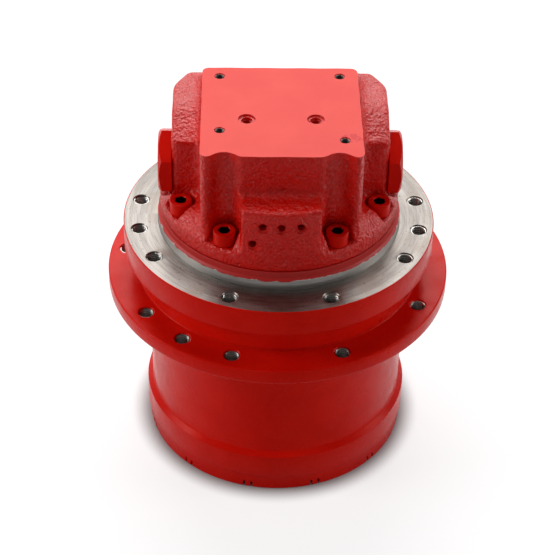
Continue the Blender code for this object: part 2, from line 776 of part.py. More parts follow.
def planet_mesh(name, teeth, pin_radius, low, high):
    return extruded(name, gear_outline(teeth), low, high), rod(
        name + "_bore", bore_for(pin_radius, SMALL_ROUND), low - FACE_GAP, high + FACE_GAP, SMALL_ROUND
    )


def build_planets(stage, teeth, circle, pin_radius, low, high, parent):
    for k, direction in enumerate(planet_directions()):
        name = f"planet_{stage}_{'abc'[k]}"
        gear, bore = planet_mesh(name, teeth, pin_radius, low, high)
        at = (circle * math.cos(direction), circle * math.sin(direction), 0)
        planet = place(name, gear, hardened_steel(), parent, at, planet_turn(direction, teeth))
        cut(planet, bore)


def build_carrier(carrier_spin):
    """First stage carrier: a plate with three pins, and the second sun in its middle."""
    bore = bore_for(SUN_2_SHANK)
    plate = ring("carrier_1", bore, CARRIER_RADIUS, CARRIER_LOW, CARRIER_HIGH)
    carrier = place("carrier_1", plate, hardened_steel(), carrier_spin)
    pin = rod("pin", PIN_1_RADIUS, STAGE_1_LOW - GAP, CARRIER_LOW + FACE_GAP, SMALL_ROUND)
    join(carrier, joined_copies("pins", pin, around(PLANET_1_CIRCLE, planet_directions())))
    gear = extruded("sun_2", gear_outline(SUN_2_TEETH), STAGE_2_LOW, STAGE_2_HIGH)
    turn = sun_turn(PLANET_2_TEETH, SUN_2_TEETH)
    sun = place("sun_gear_2", gear, hardened_steel(), carrier_spin, turn=turn)
    join(sun, rod("shank", SUN_2_SHANK, CARRIER_LOW, STAGE_2_LOW + FACE_GAP))
    cut(sun, rod("bore", SUN_2_BORE, CARRIER_LOW - FACE_GAP, STAGE_2_HIGH + FACE_GAP))


def build_shaft():
    """Motor shaft, from the first sun at its lower end to the seat in the motor cover."""
    step = HUB_END + SHAFT_STEP_RISE
    profile = [
        (0, STAGE_1_LOW + FACE_GAP),
        (SHAFT_TAIL_RADIUS, STAGE_1_LOW + FACE_GAP),
        (SHAFT_TAIL_RADIUS, step),
        (SHAFT_RADIUS, step + (SHAFT_RADIUS - SHAFT_TAIL_RADIUS)),
        (SHAFT_RADIUS, LOWER_SHAFT_BEARING_LOW - GAP),
        (SHAFT_SEAT, LOWER_SHAFT_BEARING_LOW),
        (SHAFT_SEAT, MOTOR_FLOOR + SWASH_LOW_SIDE / 2),
        (SHAFT_RADIUS, MOTOR_FLOOR + SWASH_LOW_SIDE / 2),
        (SHAFT_RADIUS, COVER_BASE - GAP),
        (TOP_SEAT, COVER_BASE - GAP),
        (TOP_SEAT, COVER_BASE + TOP_BEARING_WIDTH + SHAFT_TOP_RECESS / 2),
        (0, COVER_BASE + TOP_BEARING_WIDTH + SHAFT_TOP_RECESS / 2),
    ]
    gear = extruded("sun_1", gear_outline(SUN_1_TEETH), STAGE_1_LOW, STAGE_1_HIGH)
    turn = sun_turn(PLANET_1_TEETH, SUN_1_TEETH)
    shaft = place("motor_shaft_with_sun_1", gear, hardened_steel(), turn=turn)
    join(shaft, turned("shaft", profile))


def build_shaft_bearings():
    lower_high = LOWER_SHAFT_BEARING_LOW + LOWER_BEARING_WIDTH
    lower = ring("lower", bore_for(SHAFT_SEAT), fit_in(LOWER_BEARING_RADIUS), LOWER_SHAFT_BEARING_LOW, lower_high)
    place("shaft_lower_bearing", lower, hardened_steel())
    seal_high = LOWER_SHAFT_BEARING_LOW - 2 * GAP
    seal = ring("seal", bore_for(SHAFT_RADIUS), fit_in(OIL_SEAL_RADIUS), seal_high - OIL_SEAL_WIDTH, seal_high)
    place("shaft_oil_seal", seal, seal_rubber())
    top_low = COVER_BASE + GAP
    top = ring("top", bore_for(TOP_SEAT), fit_in(TOP_BEARING_RADIUS, INNER_ROUND), top_low, top_low + TOP_BEARING_WIDTH)
    place("shaft_upper_bearing", top, hardened_steel())


def build_hub():
    """The spindle hub: carrier of the second stage, bearing seats, frame flange, motor well."""
    seal_floor = SEAL_PLANE + SEAL_DEPTH
    thread_top = LOWER_BEARING_LOW
    seat = INNER_SEAT
    groove = BRAKE_CAVITY + FACE_SEAL_LAND
    oil_low = LOWER_SHAFT_BEARING_LOW - GAP
    seal_low = oil_low - OIL_SEAL_WIDTH - 2 * GAP
    outside = [
        (HUB_END_BORE, HUB_END),
        (INNER_SEAT - NUT_THREAD_DEPTH, HUB_END),
        (INNER_SEAT - NUT_THREAD_DEPTH, thread_top),
        (seat, thread_top),
        (seat, UPPER_BEARING_HIGH + GAP),
        (HUB_NECK, UPPER_BEARING_HIGH + GAP),
        (HUB_NECK, seal_floor),
        (SEAL_BORE, seal_floor),
        (SEAL_BORE, FRAME_FLANGE_LOW),
        (FRAME_FLANGE_RADIUS - FLANGE_EDGE, FRAME_FLANGE_LOW),
        (FRAME_FLANGE_RADIUS, FRAME_FLANGE_LOW + FLANGE_EDGE),
        (FRAME_FLANGE_RADIUS, FRAME_FLANGE_TOP - FLANGE_EDGE),
        (FRAME_FLANGE_RADIUS - FLANGE_EDGE, FRAME_FLANGE_TOP),
        (PILOT_RADIUS, FRAME_FLANGE_TOP),
        (PILOT_RADIUS, FRAME_FLANGE_TOP + PILOT_HEIGHT),
        (PILOT_RADIUS - RUNNING_GAP, FRAME_FLANGE_TOP + PILOT_HEIGHT + RUNNING_GAP),
        (PILOT_RADIUS - RUNNING_GAP, HUB_TOP),
    ]
    inside = [
        (groove + FACE_SEAL_WIDTH, HUB_TOP),
        (groove + FACE_SEAL_WIDTH, HUB_TOP - SEAL_GROOVE),
        (groove, HUB_TOP - SEAL_GROOVE),
        (groove, HUB_TOP),
        (BRAKE_CAVITY, HUB_TOP),
        (BRAKE_CAVITY, BRAKE_STEP),
        (MOTOR_CAVITY, BRAKE_STEP),
        (MOTOR_CAVITY, MOTOR_FLOOR),
        (LOWER_BEARING_RADIUS, MOTOR_FLOOR),
        (LOWER_BEARING_RADIUS, oil_low),
        (OIL_SEAL_RADIUS, oil_low),
        (OIL_SEAL_RADIUS, seal_low),
        (HUB_END_BORE, seal_low),
    ]
    hub = place("spindle_hub", turned("hub", outside + inside, ROUND), ground_steel())
    front = [math.radians(angle - 90) for angle in FRAME_HOLE_ANGLES]
    cut(hub, tapped_holes("holes", FRAME_HOLE_CIRCLE, front, FRAME_FLANGE_LOW, FRAME_FLANGE_TOP))
    screw_floor = SCREW_SEAT - SCREW_LENGTH - SCREW_TIP_GAP
    screw_hole = rod("screw_hole", bore_for(SCREW_RADIUS, SMALL_ROUND), screw_floor, COVER_BASE, SMALL_ROUND)
    cut(hub, joined_copies("screw_holes", screw_hole, around(SCREW_CIRCLE, screw_directions())))
    pin_hole = rod("pin_hole", bore_for(PIN_2_RADIUS, SMALL_ROUND), 0, HUB_END + STAGE_2_FACE, SMALL_ROUND)
    cut(hub, joined_copies("pin_holes", pin_hole, around(PLANET_2_CIRCLE, planet_directions())))
    radius = (SEAL_GROOVE - 2 * GAP) / 2
    middle = (groove + FACE_SEAL_WIDTH / 2, HUB_TOP - SEAL_GROOVE + GAP + radius)
    cord = turned("seal", arc(middle, radius, 0, 270, 3), ROUND)
    place("motor_cover_seal_ring", cord, seal_rubber())


def build_hub_pins():
    """Pins of the second stage planets, pressed into the hub, each with a head below."""
    head = PIN_2_RADIUS + PIN_HEAD_RIM
    head_low = CARRIER_HIGH + FACE_GAP
    for k, direction in enumerate(planet_directions()):
        name = f"planet_2_pin_{'abc'[k]}"
        profile = [
            (0, head_low),
            (head, head_low),
            (head, STAGE_2_LOW - GAP),
            (PIN_2_RADIUS, STAGE_2_LOW - GAP),
            (PIN_2_RADIUS, HUB_END + STAGE_2_FACE - GAP),
            (0, HUB_END + STAGE_2_FACE - GAP),
        ]
        at = (PLANET_2_CIRCLE * math.cos(direction), PLANET_2_CIRCLE * math.sin(direction), 0)
        place(name, turned(name, profile, SMALL_ROUND), hardened_steel(), None, at)


def swash_frame():
    """Place and tilt of the swash plate's running face."""
    return Matrix.Translation((0, 0, SWASH_MIDDLE)) @ Matrix.Rotation(SWASH_TILT, 4, "X")


def piston_places():
    """Each piston's axis (x, y) and the height of its ball, on the tilted face."""
    places = []
    for k in range(PISTONS):
        angle = 2 * math.pi * k / PISTONS
        x = PISTON_CIRCLE * math.cos(angle)
        y = PISTON_CIRCLE * math.sin(angle)
        height = SWASH_MIDDLE + y * math.tan(SWASH_TILT) + BALL_HEIGHT / math.cos(SWASH_TILT)
        places.append((x, y, height))
    return places


def build_swash_plate():
    """A wedge on the floor of the motor well, its upper face tilted."""
    low = MOTOR_FLOOR + GAP
    mesh = ring("swash", SWASH_BORE, SWASH_RADIUS, low, SWASH_MIDDLE)
    for vert in mesh.vertices:
        if vert.co.z > low + GAP:
            vert.co.z += vert.co.y * math.tan(SWASH_TILT)
    place("swash_plate", mesh, hardened_steel())


def build_pistons():
    """Seven pistons, each with a ball end and the shoe that slides on the swash plate."""
    length = (BLOCK_HIGH - BLOCK_LOW) * 0.95
    neck_top = BALL_HEIGHT
    ball = arc((0, 0), BALL_RADIUS, -90, 45, 3)
    profile = [
        *ball,
        (PISTON_NECK, neck_top),
        (PISTON_RADIUS, neck_top),
        (PISTON_RADIUS, length),
        (0, length),
    ]
    sole = GAP - BALL_HEIGHT
    shoe_profile = [
        (0, sole),
        (SHOE_RADIUS, sole),
        (SHOE_RADIUS, sole + SHOE_THICKNESS),
        (SHOE_NECK, sole + SHOE_THICKNESS),
        (SHOE_NECK, FACE_GAP),
        (0, FACE_GAP),
    ]
    for k, at in enumerate(piston_places()):
        name = f"piston_{k + 1}"
        piston = place(name, turned(name, profile, SMALL_ROUND), hardened_steel(), None, at)
        shoe = turned("shoe", shoe_profile, SMALL_ROUND)
        shoe.transform(Matrix.Rotation(SWASH_TILT, 4, "X"))
        join(piston, shoe)


def build_retainer():
    """The thin plate that holds the shoes down, parallel to the swash plate."""
    low = SHOE_THICKNESS + 2 * GAP
    shift = BALL_HEIGHT * math.tan(SWASH_TILT)
    rim = PISTON_CIRCLE + SHOE_NECK + RETAINER_RIM
    mesh = ring("retainer", SWASH_BORE, rim, low, low + RETAINER_THICKNESS)
    mesh.transform(swash_frame() @ Matrix.Translation((0, shift, 0)))
    plate = place("shoe_retainer_plate", mesh, hardened_steel())
    hole = rod("hole", SHOE_NECK + 2 * GAP, 0, BALL_HEIGHT, SMALL_ROUND)
    flat = [
        Matrix.Translation((x, y / math.cos(SWASH_TILT) + shift, 0)) for x, y, height in piston_places()
    ]
    cut(plate, joined_copies("holes", hole, [swash_frame() @ matrix for matrix in flat]))


def build_cylinder_block():
    block = place(
        "cylinder_block",
        ring("block", bore_for(SHAFT_RADIUS), BLOCK_RADIUS, BLOCK_LOW, BLOCK_HIGH),
        hardened_steel(),
    )
    floor = BLOCK_HIGH - BORE_FLOOR
    bore_radius = bore_for(PISTON_RADIUS, SMALL_ROUND)
    port = PISTON_RADIUS / 2
    profile = [
        (0, BLOCK_LOW - FACE_GAP),
        (bore_radius, BLOCK_LOW - FACE_GAP),
        (bore_radius, floor),
        (port, floor),
        (port, BLOCK_HIGH + FACE_GAP),
        (0, BLOCK_HIGH + FACE_GAP),
    ]
    bores = [Matrix.Translation((x, y, 0)) for x, y, height in piston_places()]
    cut(block, joined_copies("bores", turned("bore", profile, SMALL_ROUND), bores))


def kidney(radius, half_width, start, end, steps=5):
    """Outline of a curved slot on a circle, angles in degrees."""
    outer = arc((0, 0), radius + half_width, start, end, steps)
    inner = arc((0, 0), radius - half_width, end, start, steps)
    return outer + inner


def build_valve_plate():
    high = VALVE_PLATE_LOW + VALVE_PLATE_THICKNESS
    plate = place(
        "valve_plate",
        ring("plate", bore_for(SHAFT_RADIUS), BLOCK_RADIUS - 2 * GAP, VALVE_PLATE_LOW, high),
        bearing_bronze(),
    )
    half = PISTON_RADIUS / 2.5
    for name, start in (("inlet", -75), ("outlet", 105)):
        slot = kidney(PISTON_CIRCLE, half, start, start + 150)
        cut(plate, extruded(name, slot, VALVE_PLATE_LOW - FACE_GAP, high + FACE_GAP))


def build_brake(brake_slide):
    """Spring applied parking brake, in the step round the cylinder block."""
    separator_low = BRAKE_STEP + GAP
    friction_low = separator_low + PLATE_THICKNESS + GAP
    piston_low = friction_low + PLATE_THICKNESS + GAP
    piston_high = piston_low + BRAKE_PISTON_HEIGHT
    outer = fit_in(BRAKE_CAVITY)
    separator = ring("separator", BRAKE_INNER, outer, separator_low, separator_low + PLATE_THICKNESS)
    place("brake_separator_plate", separator, hardened_steel())
    friction = ring(
        "friction", bore_for(BLOCK_RADIUS), MOTOR_CAVITY + GAP, friction_low, friction_low + PLATE_THICKNESS
    )
    place("brake_friction_plate", friction, bearing_bronze())
    piston = ring("brake_piston", BRAKE_INNER, outer, piston_low, piston_high)
    place("brake_piston", piston, hardened_steel(), brake_slide)
    low = piston_high + GAP
    high = COVER_BASE - GAP
    inner_edge = BRAKE_INNER + BRAKE_SPRING_INNER_LAND
    outer_edge = outer - BRAKE_SPRING_OUTER_LAND
    spring = [
        (inner_edge, low),
        (outer_edge, high - BRAKE_SPRING_THICKNESS),
        (outer_edge, high),
        (inner_edge, low + BRAKE_SPRING_THICKNESS),
    ]
    place("brake_disc_spring", turned("brake_spring", spring), hardened_steel())


def screw_directions():
    return [math.radians(angle - 90) for angle in SCREW_ANGLES]


def build_screws():
    """Socket head screws M10 that hold the motor cover, each in its cast pocket."""
    low = SCREW_SEAT + GAP
    high = low + SCREW_HEAD_HEIGHT
    edge = SCREW_HEAD_EDGE
    profile = [
        (0, SCREW_SEAT - SCREW_LENGTH),
        (SCREW_RADIUS, SCREW_SEAT - SCREW_LENGTH),
        (SCREW_RADIUS, low),
        (SCREW_HEAD_RADIUS, low),
        (SCREW_HEAD_RADIUS, high - edge),
        (SCREW_HEAD_RADIUS - edge, high),
        (0, high),
    ]
    for k, direction in enumerate(screw_directions()):
        name = f"cover_screw_{k + 1}"
        at = (SCREW_CIRCLE * math.cos(direction), SCREW_CIRCLE * math.sin(direction), 0)
        screw = place(name, turned(name, profile, SMALL_ROUND), machined_paint(), None, at, direction)
        cut(screw, extruded("socket", hexagon(SCREW_SOCKET_FLATS), high - SCREW_SOCKET_DEPTH, high + edge))


def bevelled(mesh, width, name, segments=2):
    """Rounds all edges of a casting form before it is joined to the others."""
    bm = bmesh.new()
    bm.from_mesh(mesh)
    sharp = [edge for edge in bm.edges if edge.calc_face_angle(0) > math.radians(20)]
    bmesh.ops.bevel(bm, geom=sharp, offset=width, segments=segments, profile=ARC_PROFILE, affect="EDGES")
    return mesh_of(bm, name)


def across():
    """Turns a shape drawn on (y, z) and extruded so that it lies along X."""
    return Matrix(((0, 0, 1, 0), (1, 0, 0, 0), (0, 1, 0, 0), (0, 0, 0, 1)))


def cover_base_mesh():
    slopes = [(COVER_BASE_RADIUS - inward, SHOULDER_TOP - down) for inward, down in COVER_SLOPES]
    profile = [
        (0, COVER_BASE),
        (COVER_BASE_RADIUS - COVER_EDGE, COVER_BASE),
        (COVER_BASE_RADIUS, COVER_BASE + COVER_EDGE),
        (COVER_BASE_RADIUS, SCREW_SEAT - COVER_EDGE),
        *slopes,
        (0, SHOULDER_TOP),
    ]
    return turned("cover_base", profile, ROUND)


def cover_block_mesh():
    outline = [
        (-BLOCK_HALF_WIDTH, -BLOCK_FRONT),
        (BLOCK_HALF_WIDTH, -BLOCK_FRONT),
        (BLOCK_HALF_WIDTH, BLOCK_BACK),
        (-BLOCK_HALF_WIDTH, BLOCK_BACK),
    ]
    block = extruded("block", outline, COVER_BASE + COVER_SEAT_HEIGHT / 2, MOTOR_TOP)
    return bevelled(block, CAST_RADIUS / 2, "block", 1)


def cover_lobe_mesh():
    """Both side lobes as one bar across the block, its ends sloped at the front and back."""
    top = MOTOR_TOP - LOBE_TOP_DROP
    foot = COVER_BASE + COVER_SEAT_HEIGHT / 3
    side = [
        (LOBE_BACK, foot),
        (LOBE_BACK, top - LOBE_SLOPE * 0.6),
        (LOBE_BACK - LOBE_SLOPE * 0.6, top),
        (LOBE_SLOPE * 0.1, top),
        (-LOBE_FRONT, top - LOBE_SLOPE * 0.8),
        (-LOBE_FRONT, foot),
    ]
    bar = extruded("lobes", side, -LOBE_REACH, LOBE_REACH)
    bar.transform(across())
    return bevelled(bar, CAST_RADIUS * 1.2, "lobes")


def cover_pad_mesh():
    """The machined front pad: a sector of a cylinder with a flat ledge on top."""
    radius = COVER_BASE_RADIUS + GAP
    spread = math.degrees(math.asin(PAD_HALF_WIDTH / radius))
    face = arc((0, 0), radius, -90 - spread, -90 + spread, 7)
    back = BLOCK_FRONT - CAST_RADIUS
    outline = [*face, (PAD_HALF_WIDTH, -back), (-PAD_HALF_WIDTH, -back)]
    return extruded("pad", outline, COVER_BASE + FACE_GAP, COVER_BASE + PAD_HEIGHT)


def valve_bore_mesh():
    """The cutter of the counterbalance valve's bore, wider at both ends for the springs."""
    bore = bore_for(SPOOL_RADIUS, VALVE_ROUND)
    end = PLUG_OUTER_X
    profile = [
        (0, -end),
        (CHAMBER_RADIUS, -end),
        (CHAMBER_RADIUS, -CHAMBER_START),
        (bore, -CHAMBER_START),
        (bore, CHAMBER_START),
        (CHAMBER_RADIUS, CHAMBER_START),
        (CHAMBER_RADIUS, end),
        (0, end),
    ]
    mesh = turned("valve_bore", profile, VALVE_ROUND)
    mesh.transform(Matrix.Translation((0, 0, VALVE_AXIS)) @ Matrix.Rotation(math.pi / 2, 4, "Y"))
    return mesh


def spot_face_mesh():
    """Cutters that face both lobes flat and clear the hex heads from the base."""
    radius = PLUG_FLATS / math.sqrt(3) + FACE_GAP
    disc = rod("spot_face", radius, PLUG_SEAT, PLUG_OUTER_X + FACE_GAP, INNER_ROUND)
    upright = Matrix.Translation((0, 0, VALVE_AXIS))
    sides = [upright @ Matrix.Rotation(side * math.pi / 2, 4, "Y") for side in (-1, 1)]
    return joined_copies("spot_faces", disc, sides)


def pocket_mesh():
    """Pockets round the screw heads, open to the outside."""
    inner = arc((0, 0), POCKET_RADIUS, 90, 270, 6)
    out = COVER_BASE_RADIUS - SCREW_CIRCLE + POCKET_RADIUS
    outline = [*inner, (out, -POCKET_RADIUS), (out, POCKET_RADIUS)]
    pocket = extruded("pocket", outline, SCREW_SEAT, SHOULDER_TOP + FACE_GAP)
    return joined_copies("pockets", pocket, around(SCREW_CIRCLE, screw_directions()))


def build_motor_cover():
    """The casting on top: base, block, side lobes and pad, then all its bores and pockets."""
    cover = place("motor_cover", cover_base_mesh(), cast_paint())
    join(cover, cover_lobe_mesh())
    join(cover, cover_block_mesh())
    join(cover, cover_pad_mesh())
    cut(cover, pocket_mesh())
    front = [direction for direction in screw_directions() if math.sin(direction) < 0]
    above = MOTOR_TOP + FACE_GAP
    access = rod("access", POCKET_RADIUS - GAP, SCREW_SEAT + GAP, above, VALVE_ROUND)
    cut(cover, joined_copies("access_ways", access, around(SCREW_CIRCLE, front)))
    screw_hole = rod("screw", bore_for(SCREW_RADIUS, SMALL_ROUND), HUB_TOP, SHOULDER_TOP, SMALL_ROUND)
    cut(cover, joined_copies("screws", screw_hole, around(SCREW_CIRCLE, screw_directions())))
    cut(cover, spot_face_mesh())
    cut(cover, valve_bore_mesh())
    cut(cover, shaft_seat_mesh())
    cut(cover, top_hole_mesh())
    cut(cover, port_mesh())
    cut(cover, pad_hole_mesh())


def shaft_seat_mesh():
    floor = COVER_BASE + TOP_BEARING_WIDTH + 2 * GAP
    profile = [
        (0, HUB_TOP),
        (TOP_BEARING_RADIUS, HUB_TOP),
        (TOP_BEARING_RADIUS, floor),
        (TOP_SEAT + FACE_GAP, floor),
        (TOP_SEAT + FACE_GAP, floor + SHAFT_TOP_RECESS),
        (0, floor + SHAFT_TOP_RECESS),
    ]
    return turned("shaft_seat", profile)


def top_hole_mesh():
    hole = rod("top_hole", TOP_HOLE_RADIUS, MOTOR_TOP - HOLE_DEPTH, MOTOR_TOP + FACE_GAP, SMALL_ROUND)
    return joined_copies("top_holes", hole, [Matrix.Translation((x, y, 0)) for x, y in TOP_HOLES])


def port_mesh():
    """Drilled ports with a shallow counterbore for a seal."""
    sink = MOTOR_TOP - PORT_SINK_DEPTH
    profile = [
        (0, MOTOR_TOP - HOLE_DEPTH),
        (PORT_RADIUS, MOTOR_TOP - HOLE_DEPTH),
        (PORT_RADIUS, sink),
        (PORT_SINK_RADIUS, sink),
        (PORT_SINK_RADIUS, MOTOR_TOP + FACE_GAP),
        (0, MOTOR_TOP + FACE_GAP),
    ]
    port = turned("port", profile, SMALL_ROUND)
    return joined_copies("ports", port, [Matrix.Translation((x, y, 0)) for x, y in PORTS])


def pad_hole_mesh():
    deep = rod("pad_hole", PAD_HOLE_RADIUS, 0, HOLE_DEPTH, SMALL_ROUND)
    deep.transform(Matrix.Rotation(-math.pi / 2, 4, "X"))
    outside = COVER_BASE_RADIUS + FACE_GAP
    places = [Matrix.Translation((x, -outside, COVER_BASE + z)) for x, z in PAD_HOLES]
    return joined_copies("pad_holes", deep, places)


def build_plugs():
    """Hex plugs that close the valve bore and carry the outer ends of the springs."""
    for name, side in (("left_hex_plug", -1), ("right_hex_plug", 1)):
        head_low = PLUG_SEAT + GAP
        head = extruded(name, hexagon(PLUG_FLATS), head_low, PLUG_OUTER_X)
        shank = rod("shank", CHAMBER_RADIUS - GAP, PLUG_INNER_END, head_low + FACE_GAP, VALVE_ROUND)
        lying = Matrix.Rotation(side * math.pi / 2, 4, "Y")
        head.transform(lying)
        shank.transform(lying)
        plug = place(name, head, machined_paint(), None, (0, 0, VALVE_AXIS))
        join(plug, shank)


def build_spool(spool_slide):
    """Counterbalance spool with three lands, and a coil spring at each end."""
    land = SPOOL_HALF_LENGTH / 3
    waist = SPOOL_RADIUS * 0.6
    profile = [
        (0, -SPOOL_HALF_LENGTH),
        (SPOOL_RADIUS, -SPOOL_HALF_LENGTH),
        (SPOOL_RADIUS, -SPOOL_HALF_LENGTH + land),
        (waist, -SPOOL_HALF_LENGTH + land),
        (waist, -land / 2),
        (SPOOL_RADIUS, -land / 2),
        (SPOOL_RADIUS, land / 2),
        (waist, land / 2),
        (waist, SPOOL_HALF_LENGTH - land),
        (SPOOL_RADIUS, SPOOL_HALF_LENGTH - land),
        (SPOOL_RADIUS, SPOOL_HALF_LENGTH),
        (0, SPOOL_HALF_LENGTH),
    ]
    mesh = turned("spool", profile, VALVE_ROUND)
    mesh.transform(Matrix.Rotation(math.pi / 2, 4, "Y"))
    place("counterbalance_spool", mesh, hardened_steel(), spool_slide)
    start = SPOOL_HALF_LENGTH + SPRING_WIRE + GAP
    end = PLUG_INNER_END - SPRING_WIRE - GAP
    for name, side in (("left_spool_spring", -1), ("right_spool_spring", 1)):
        place_spring(name, side * start, side * end)


def place_spring(name, start, end):
    """A coil spring along X between two places, as a round wire on a helix."""
    per_turn = 8
    count = SPRING_TURNS * per_turn + 1
    curve = bpy.data.curves.new(name, "CURVE")
    curve.dimensions = "3D"
    curve.bevel_depth = SPRING_WIRE
    curve.bevel_resolution = 1
    curve.use_fill_caps = True
    spline = curve.splines.new("POLY")
    spline.points.add(count - 1)
    for k, point in enumerate(spline.points):
        angle = 2 * math.pi * k / per_turn
        x = start + (end - start) * k / (count - 1)
        y = SPRING_RADIUS * math.cos(angle)
        z = SPRING_RADIUS * math.sin(angle)
        point.co = (x, y, z, 1)
    curve.materials.append(hardened_steel())
    spring = bpy.data.objects.new(name, curve)
    bpy.context.scene.collection.objects.link(spring)
    spring.location = (0, 0, VALVE_AXIS)


def build_frame_side():
    build_hub()
    build_hub_pins()
    build_shaft_bearings()
    build_swash_plate()
    build_pistons()
    build_retainer()
    build_cylinder_block()
    build_valve_plate()
    build_brake(joint_empty("brake_slide"))
    build_motor_cover()
    build_screws()
    build_plugs()
    build_spool(joint_empty("spool_slide", at=(0, 0, VALVE_AXIS)))


def build_turning_side():
    drum_spin = joint_empty("drum_spin")
    carrier_spin = joint_empty("carrier_spin")
    build_housing(drum_spin)
    build_end_cover(drum_spin)
    build_main_bearings(drum_spin)
    build_floating_seal(drum_spin)
    build_carrier(carrier_spin)
    stage_1 = (PLANET_1_TEETH, PLANET_1_CIRCLE, PIN_1_RADIUS, STAGE_1_LOW, STAGE_1_HIGH)
    stage_2 = (PLANET_2_TEETH, PLANET_2_CIRCLE, PIN_2_RADIUS, STAGE_2_LOW, STAGE_2_HIGH)
    build_planets(1, *stage_1, carrier_spin)
    build_planets(2, *stage_2, None)
    build_shaft()


def main():
    clear_scene()
    build_frame_side()
    build_turning_side()
    merge_flat_faces()


main()
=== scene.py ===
# %% [markdown]
# # Looks of an excavator final drive
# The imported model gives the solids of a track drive: a red drum that turns, a spindle hub with a
# bare steel flange, and a cast motor cover on top. This file gives it its finished surfaces.
# Each piece is worked out with numpy as whole arrays and handed to Blender as one mesh. Lengths
# are in metres, +Z is up, and the front of the drive looks along -Y.

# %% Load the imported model
import json
import math

import bmesh
import bpy
import numpy as np
from mathutils import Matrix, Vector


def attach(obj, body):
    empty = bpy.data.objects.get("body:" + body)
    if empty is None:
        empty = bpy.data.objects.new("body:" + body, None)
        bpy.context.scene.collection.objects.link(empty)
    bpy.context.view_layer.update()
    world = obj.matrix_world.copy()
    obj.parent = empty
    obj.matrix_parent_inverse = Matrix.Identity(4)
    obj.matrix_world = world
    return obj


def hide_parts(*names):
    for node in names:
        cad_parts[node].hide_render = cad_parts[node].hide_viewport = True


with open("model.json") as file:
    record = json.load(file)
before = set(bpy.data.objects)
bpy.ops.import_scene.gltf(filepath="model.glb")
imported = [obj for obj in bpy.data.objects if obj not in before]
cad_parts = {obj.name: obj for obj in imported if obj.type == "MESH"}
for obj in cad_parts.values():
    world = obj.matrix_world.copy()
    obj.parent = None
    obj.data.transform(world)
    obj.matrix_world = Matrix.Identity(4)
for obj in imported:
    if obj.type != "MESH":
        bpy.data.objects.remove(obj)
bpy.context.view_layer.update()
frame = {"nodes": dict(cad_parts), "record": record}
nodes = frame["nodes"]
MM = 0.001


# %% [markdown]
# ## Camera
# The photograph was taken from 38 degrees above the flange with a long lens, from a little to the
# left of the front. A long lens keeps the flange rings close to true ellipses. The camera is
# placed on a sphere round a point on the spin axis, and rolled by a degree as in the photograph.

# %% Camera
AIM = Vector((0.00008, 0.0, 0.12790))
DISTANCE = 1.35065
ELEVATION = math.radians(38.333)
AZIMUTH = math.radians(-1.5)
ROLL = math.radians(1.223)


def place_camera():
    """The camera stands at AIM + DISTANCE (cos e sin a, -cos e cos a, sin e) and looks back."""
    away = Vector((
        math.cos(ELEVATION) * math.sin(AZIMUTH),
        -math.cos(ELEVATION) * math.cos(AZIMUTH),
        math.sin(ELEVATION),
    ))
    data = bpy.data.cameras.new("product_camera")
    data.lens = 113.79
    data.sensor_width = 36
    data.clip_end = 20
    camera = bpy.data.objects.new("product_camera", data)
    bpy.context.scene.collection.objects.link(camera)
    look = away.to_track_quat("Z", "Y").to_matrix().to_4x4()
    camera.matrix_world = Matrix.Translation(AIM + away * DISTANCE) @ look @ Matrix.Rotation(ROLL, 4, "Z")
    bpy.context.scene.camera = camera
    return camera


print("camera at", [round(value, 3) for value in place_camera().location])

# %% [markdown]
# ## Colours and shader nodes
# A paint colour is read off as an sRGB hex value, as any paint program shows it. Blender mixes
# light in linear values, so one function turns the hex value to linear. A second function adds a
# shader node, sets its sockets and links its inputs, so that each material stays a short list.

# %% Colour and node helpers


def linear(code):
    """sRGB hex to linear: c / 12.92 up to 0.04045, else ((c + 0.055) / 1.055) ** 2.4."""
    values = np.array([int(code[k:k + 2], 16) for k in (1, 3, 5)]) / 255
    bent = np.where(values <= 0.04045, values / 12.92, ((values + 0.055) / 1.055) ** 2.4)
    return (*bent.tolist(), 1.0)


def add(tree, kind, settings=None, links=None):
    """Adds one shader node, sets its properties and sockets, and links its inputs."""
    node = tree.nodes.new("ShaderNode" + kind)
    for key, value in (settings or {}).items():
        if isinstance(key, int) or key in node.inputs:
            node.inputs[key].default_value = value
        else:
            setattr(node, key, value)
    for key, source in (links or {}).items():
        tree.links.new(source, node.inputs[key])
    return node


def new_material(name):
    """An empty Principled material with its Object coordinates, ready for a pattern."""
    material = bpy.data.materials.new(name)
    material.use_nodes = True
    tree = material.node_tree
    shader = tree.nodes["Principled BSDF"]
    place = add(tree, "TexCoord").outputs["Object"]
    return material, tree, shader, place


def noise(tree, place, size_mm, detail=2.0, stretch=None):
    """Noise whose blobs are about size_mm across; stretch scales the axes against each other."""
    if stretch:
        place = add(tree, "Mapping", {"Scale": stretch}, {"Vector": place}).outputs["Vector"]
    settings = {"Scale": 1 / (size_mm * MM), "Detail": detail}
    return add(tree, "TexNoise", settings, {"Vector": place}).outputs["Fac"]


def spread(tree, value, low, high, to_low=0.0, to_high=1.0):
    """Maps a value from low..high to to_low..to_high along a smooth step."""
    settings = {
        "interpolation_type": "SMOOTHSTEP",
        "From Min": low,
        "From Max": high,
        "To Min": to_low,
        "To Max": to_high,
    }
    return add(tree, "MapRange", settings, {"Value": value}).outputs["Result"]


def blend(tree, share, first, second):
    """A colour between first and second, each a colour or another node's output."""
    node = add(tree, "Mix", {"data_type": "RGBA"}, {0: share})
    for socket, colour in ((6, first), (7, second)):
        if isinstance(colour, tuple):
            node.inputs[socket].default_value = colour
        else:
            tree.links.new(colour, node.inputs[socket])
    return node.outputs[2]


def calculate(tree, operation, first, second):
    """One Math node on two values, each a number or another node's output."""
    node = add(tree, "Math", {"operation": operation})
    for socket, value in ((0, first), (1, second)):
        if isinstance(value, (int, float)):
            node.inputs[socket].default_value = value
        else:
            tree.links.new(value, node.inputs[socket])
    return node.outputs[0]


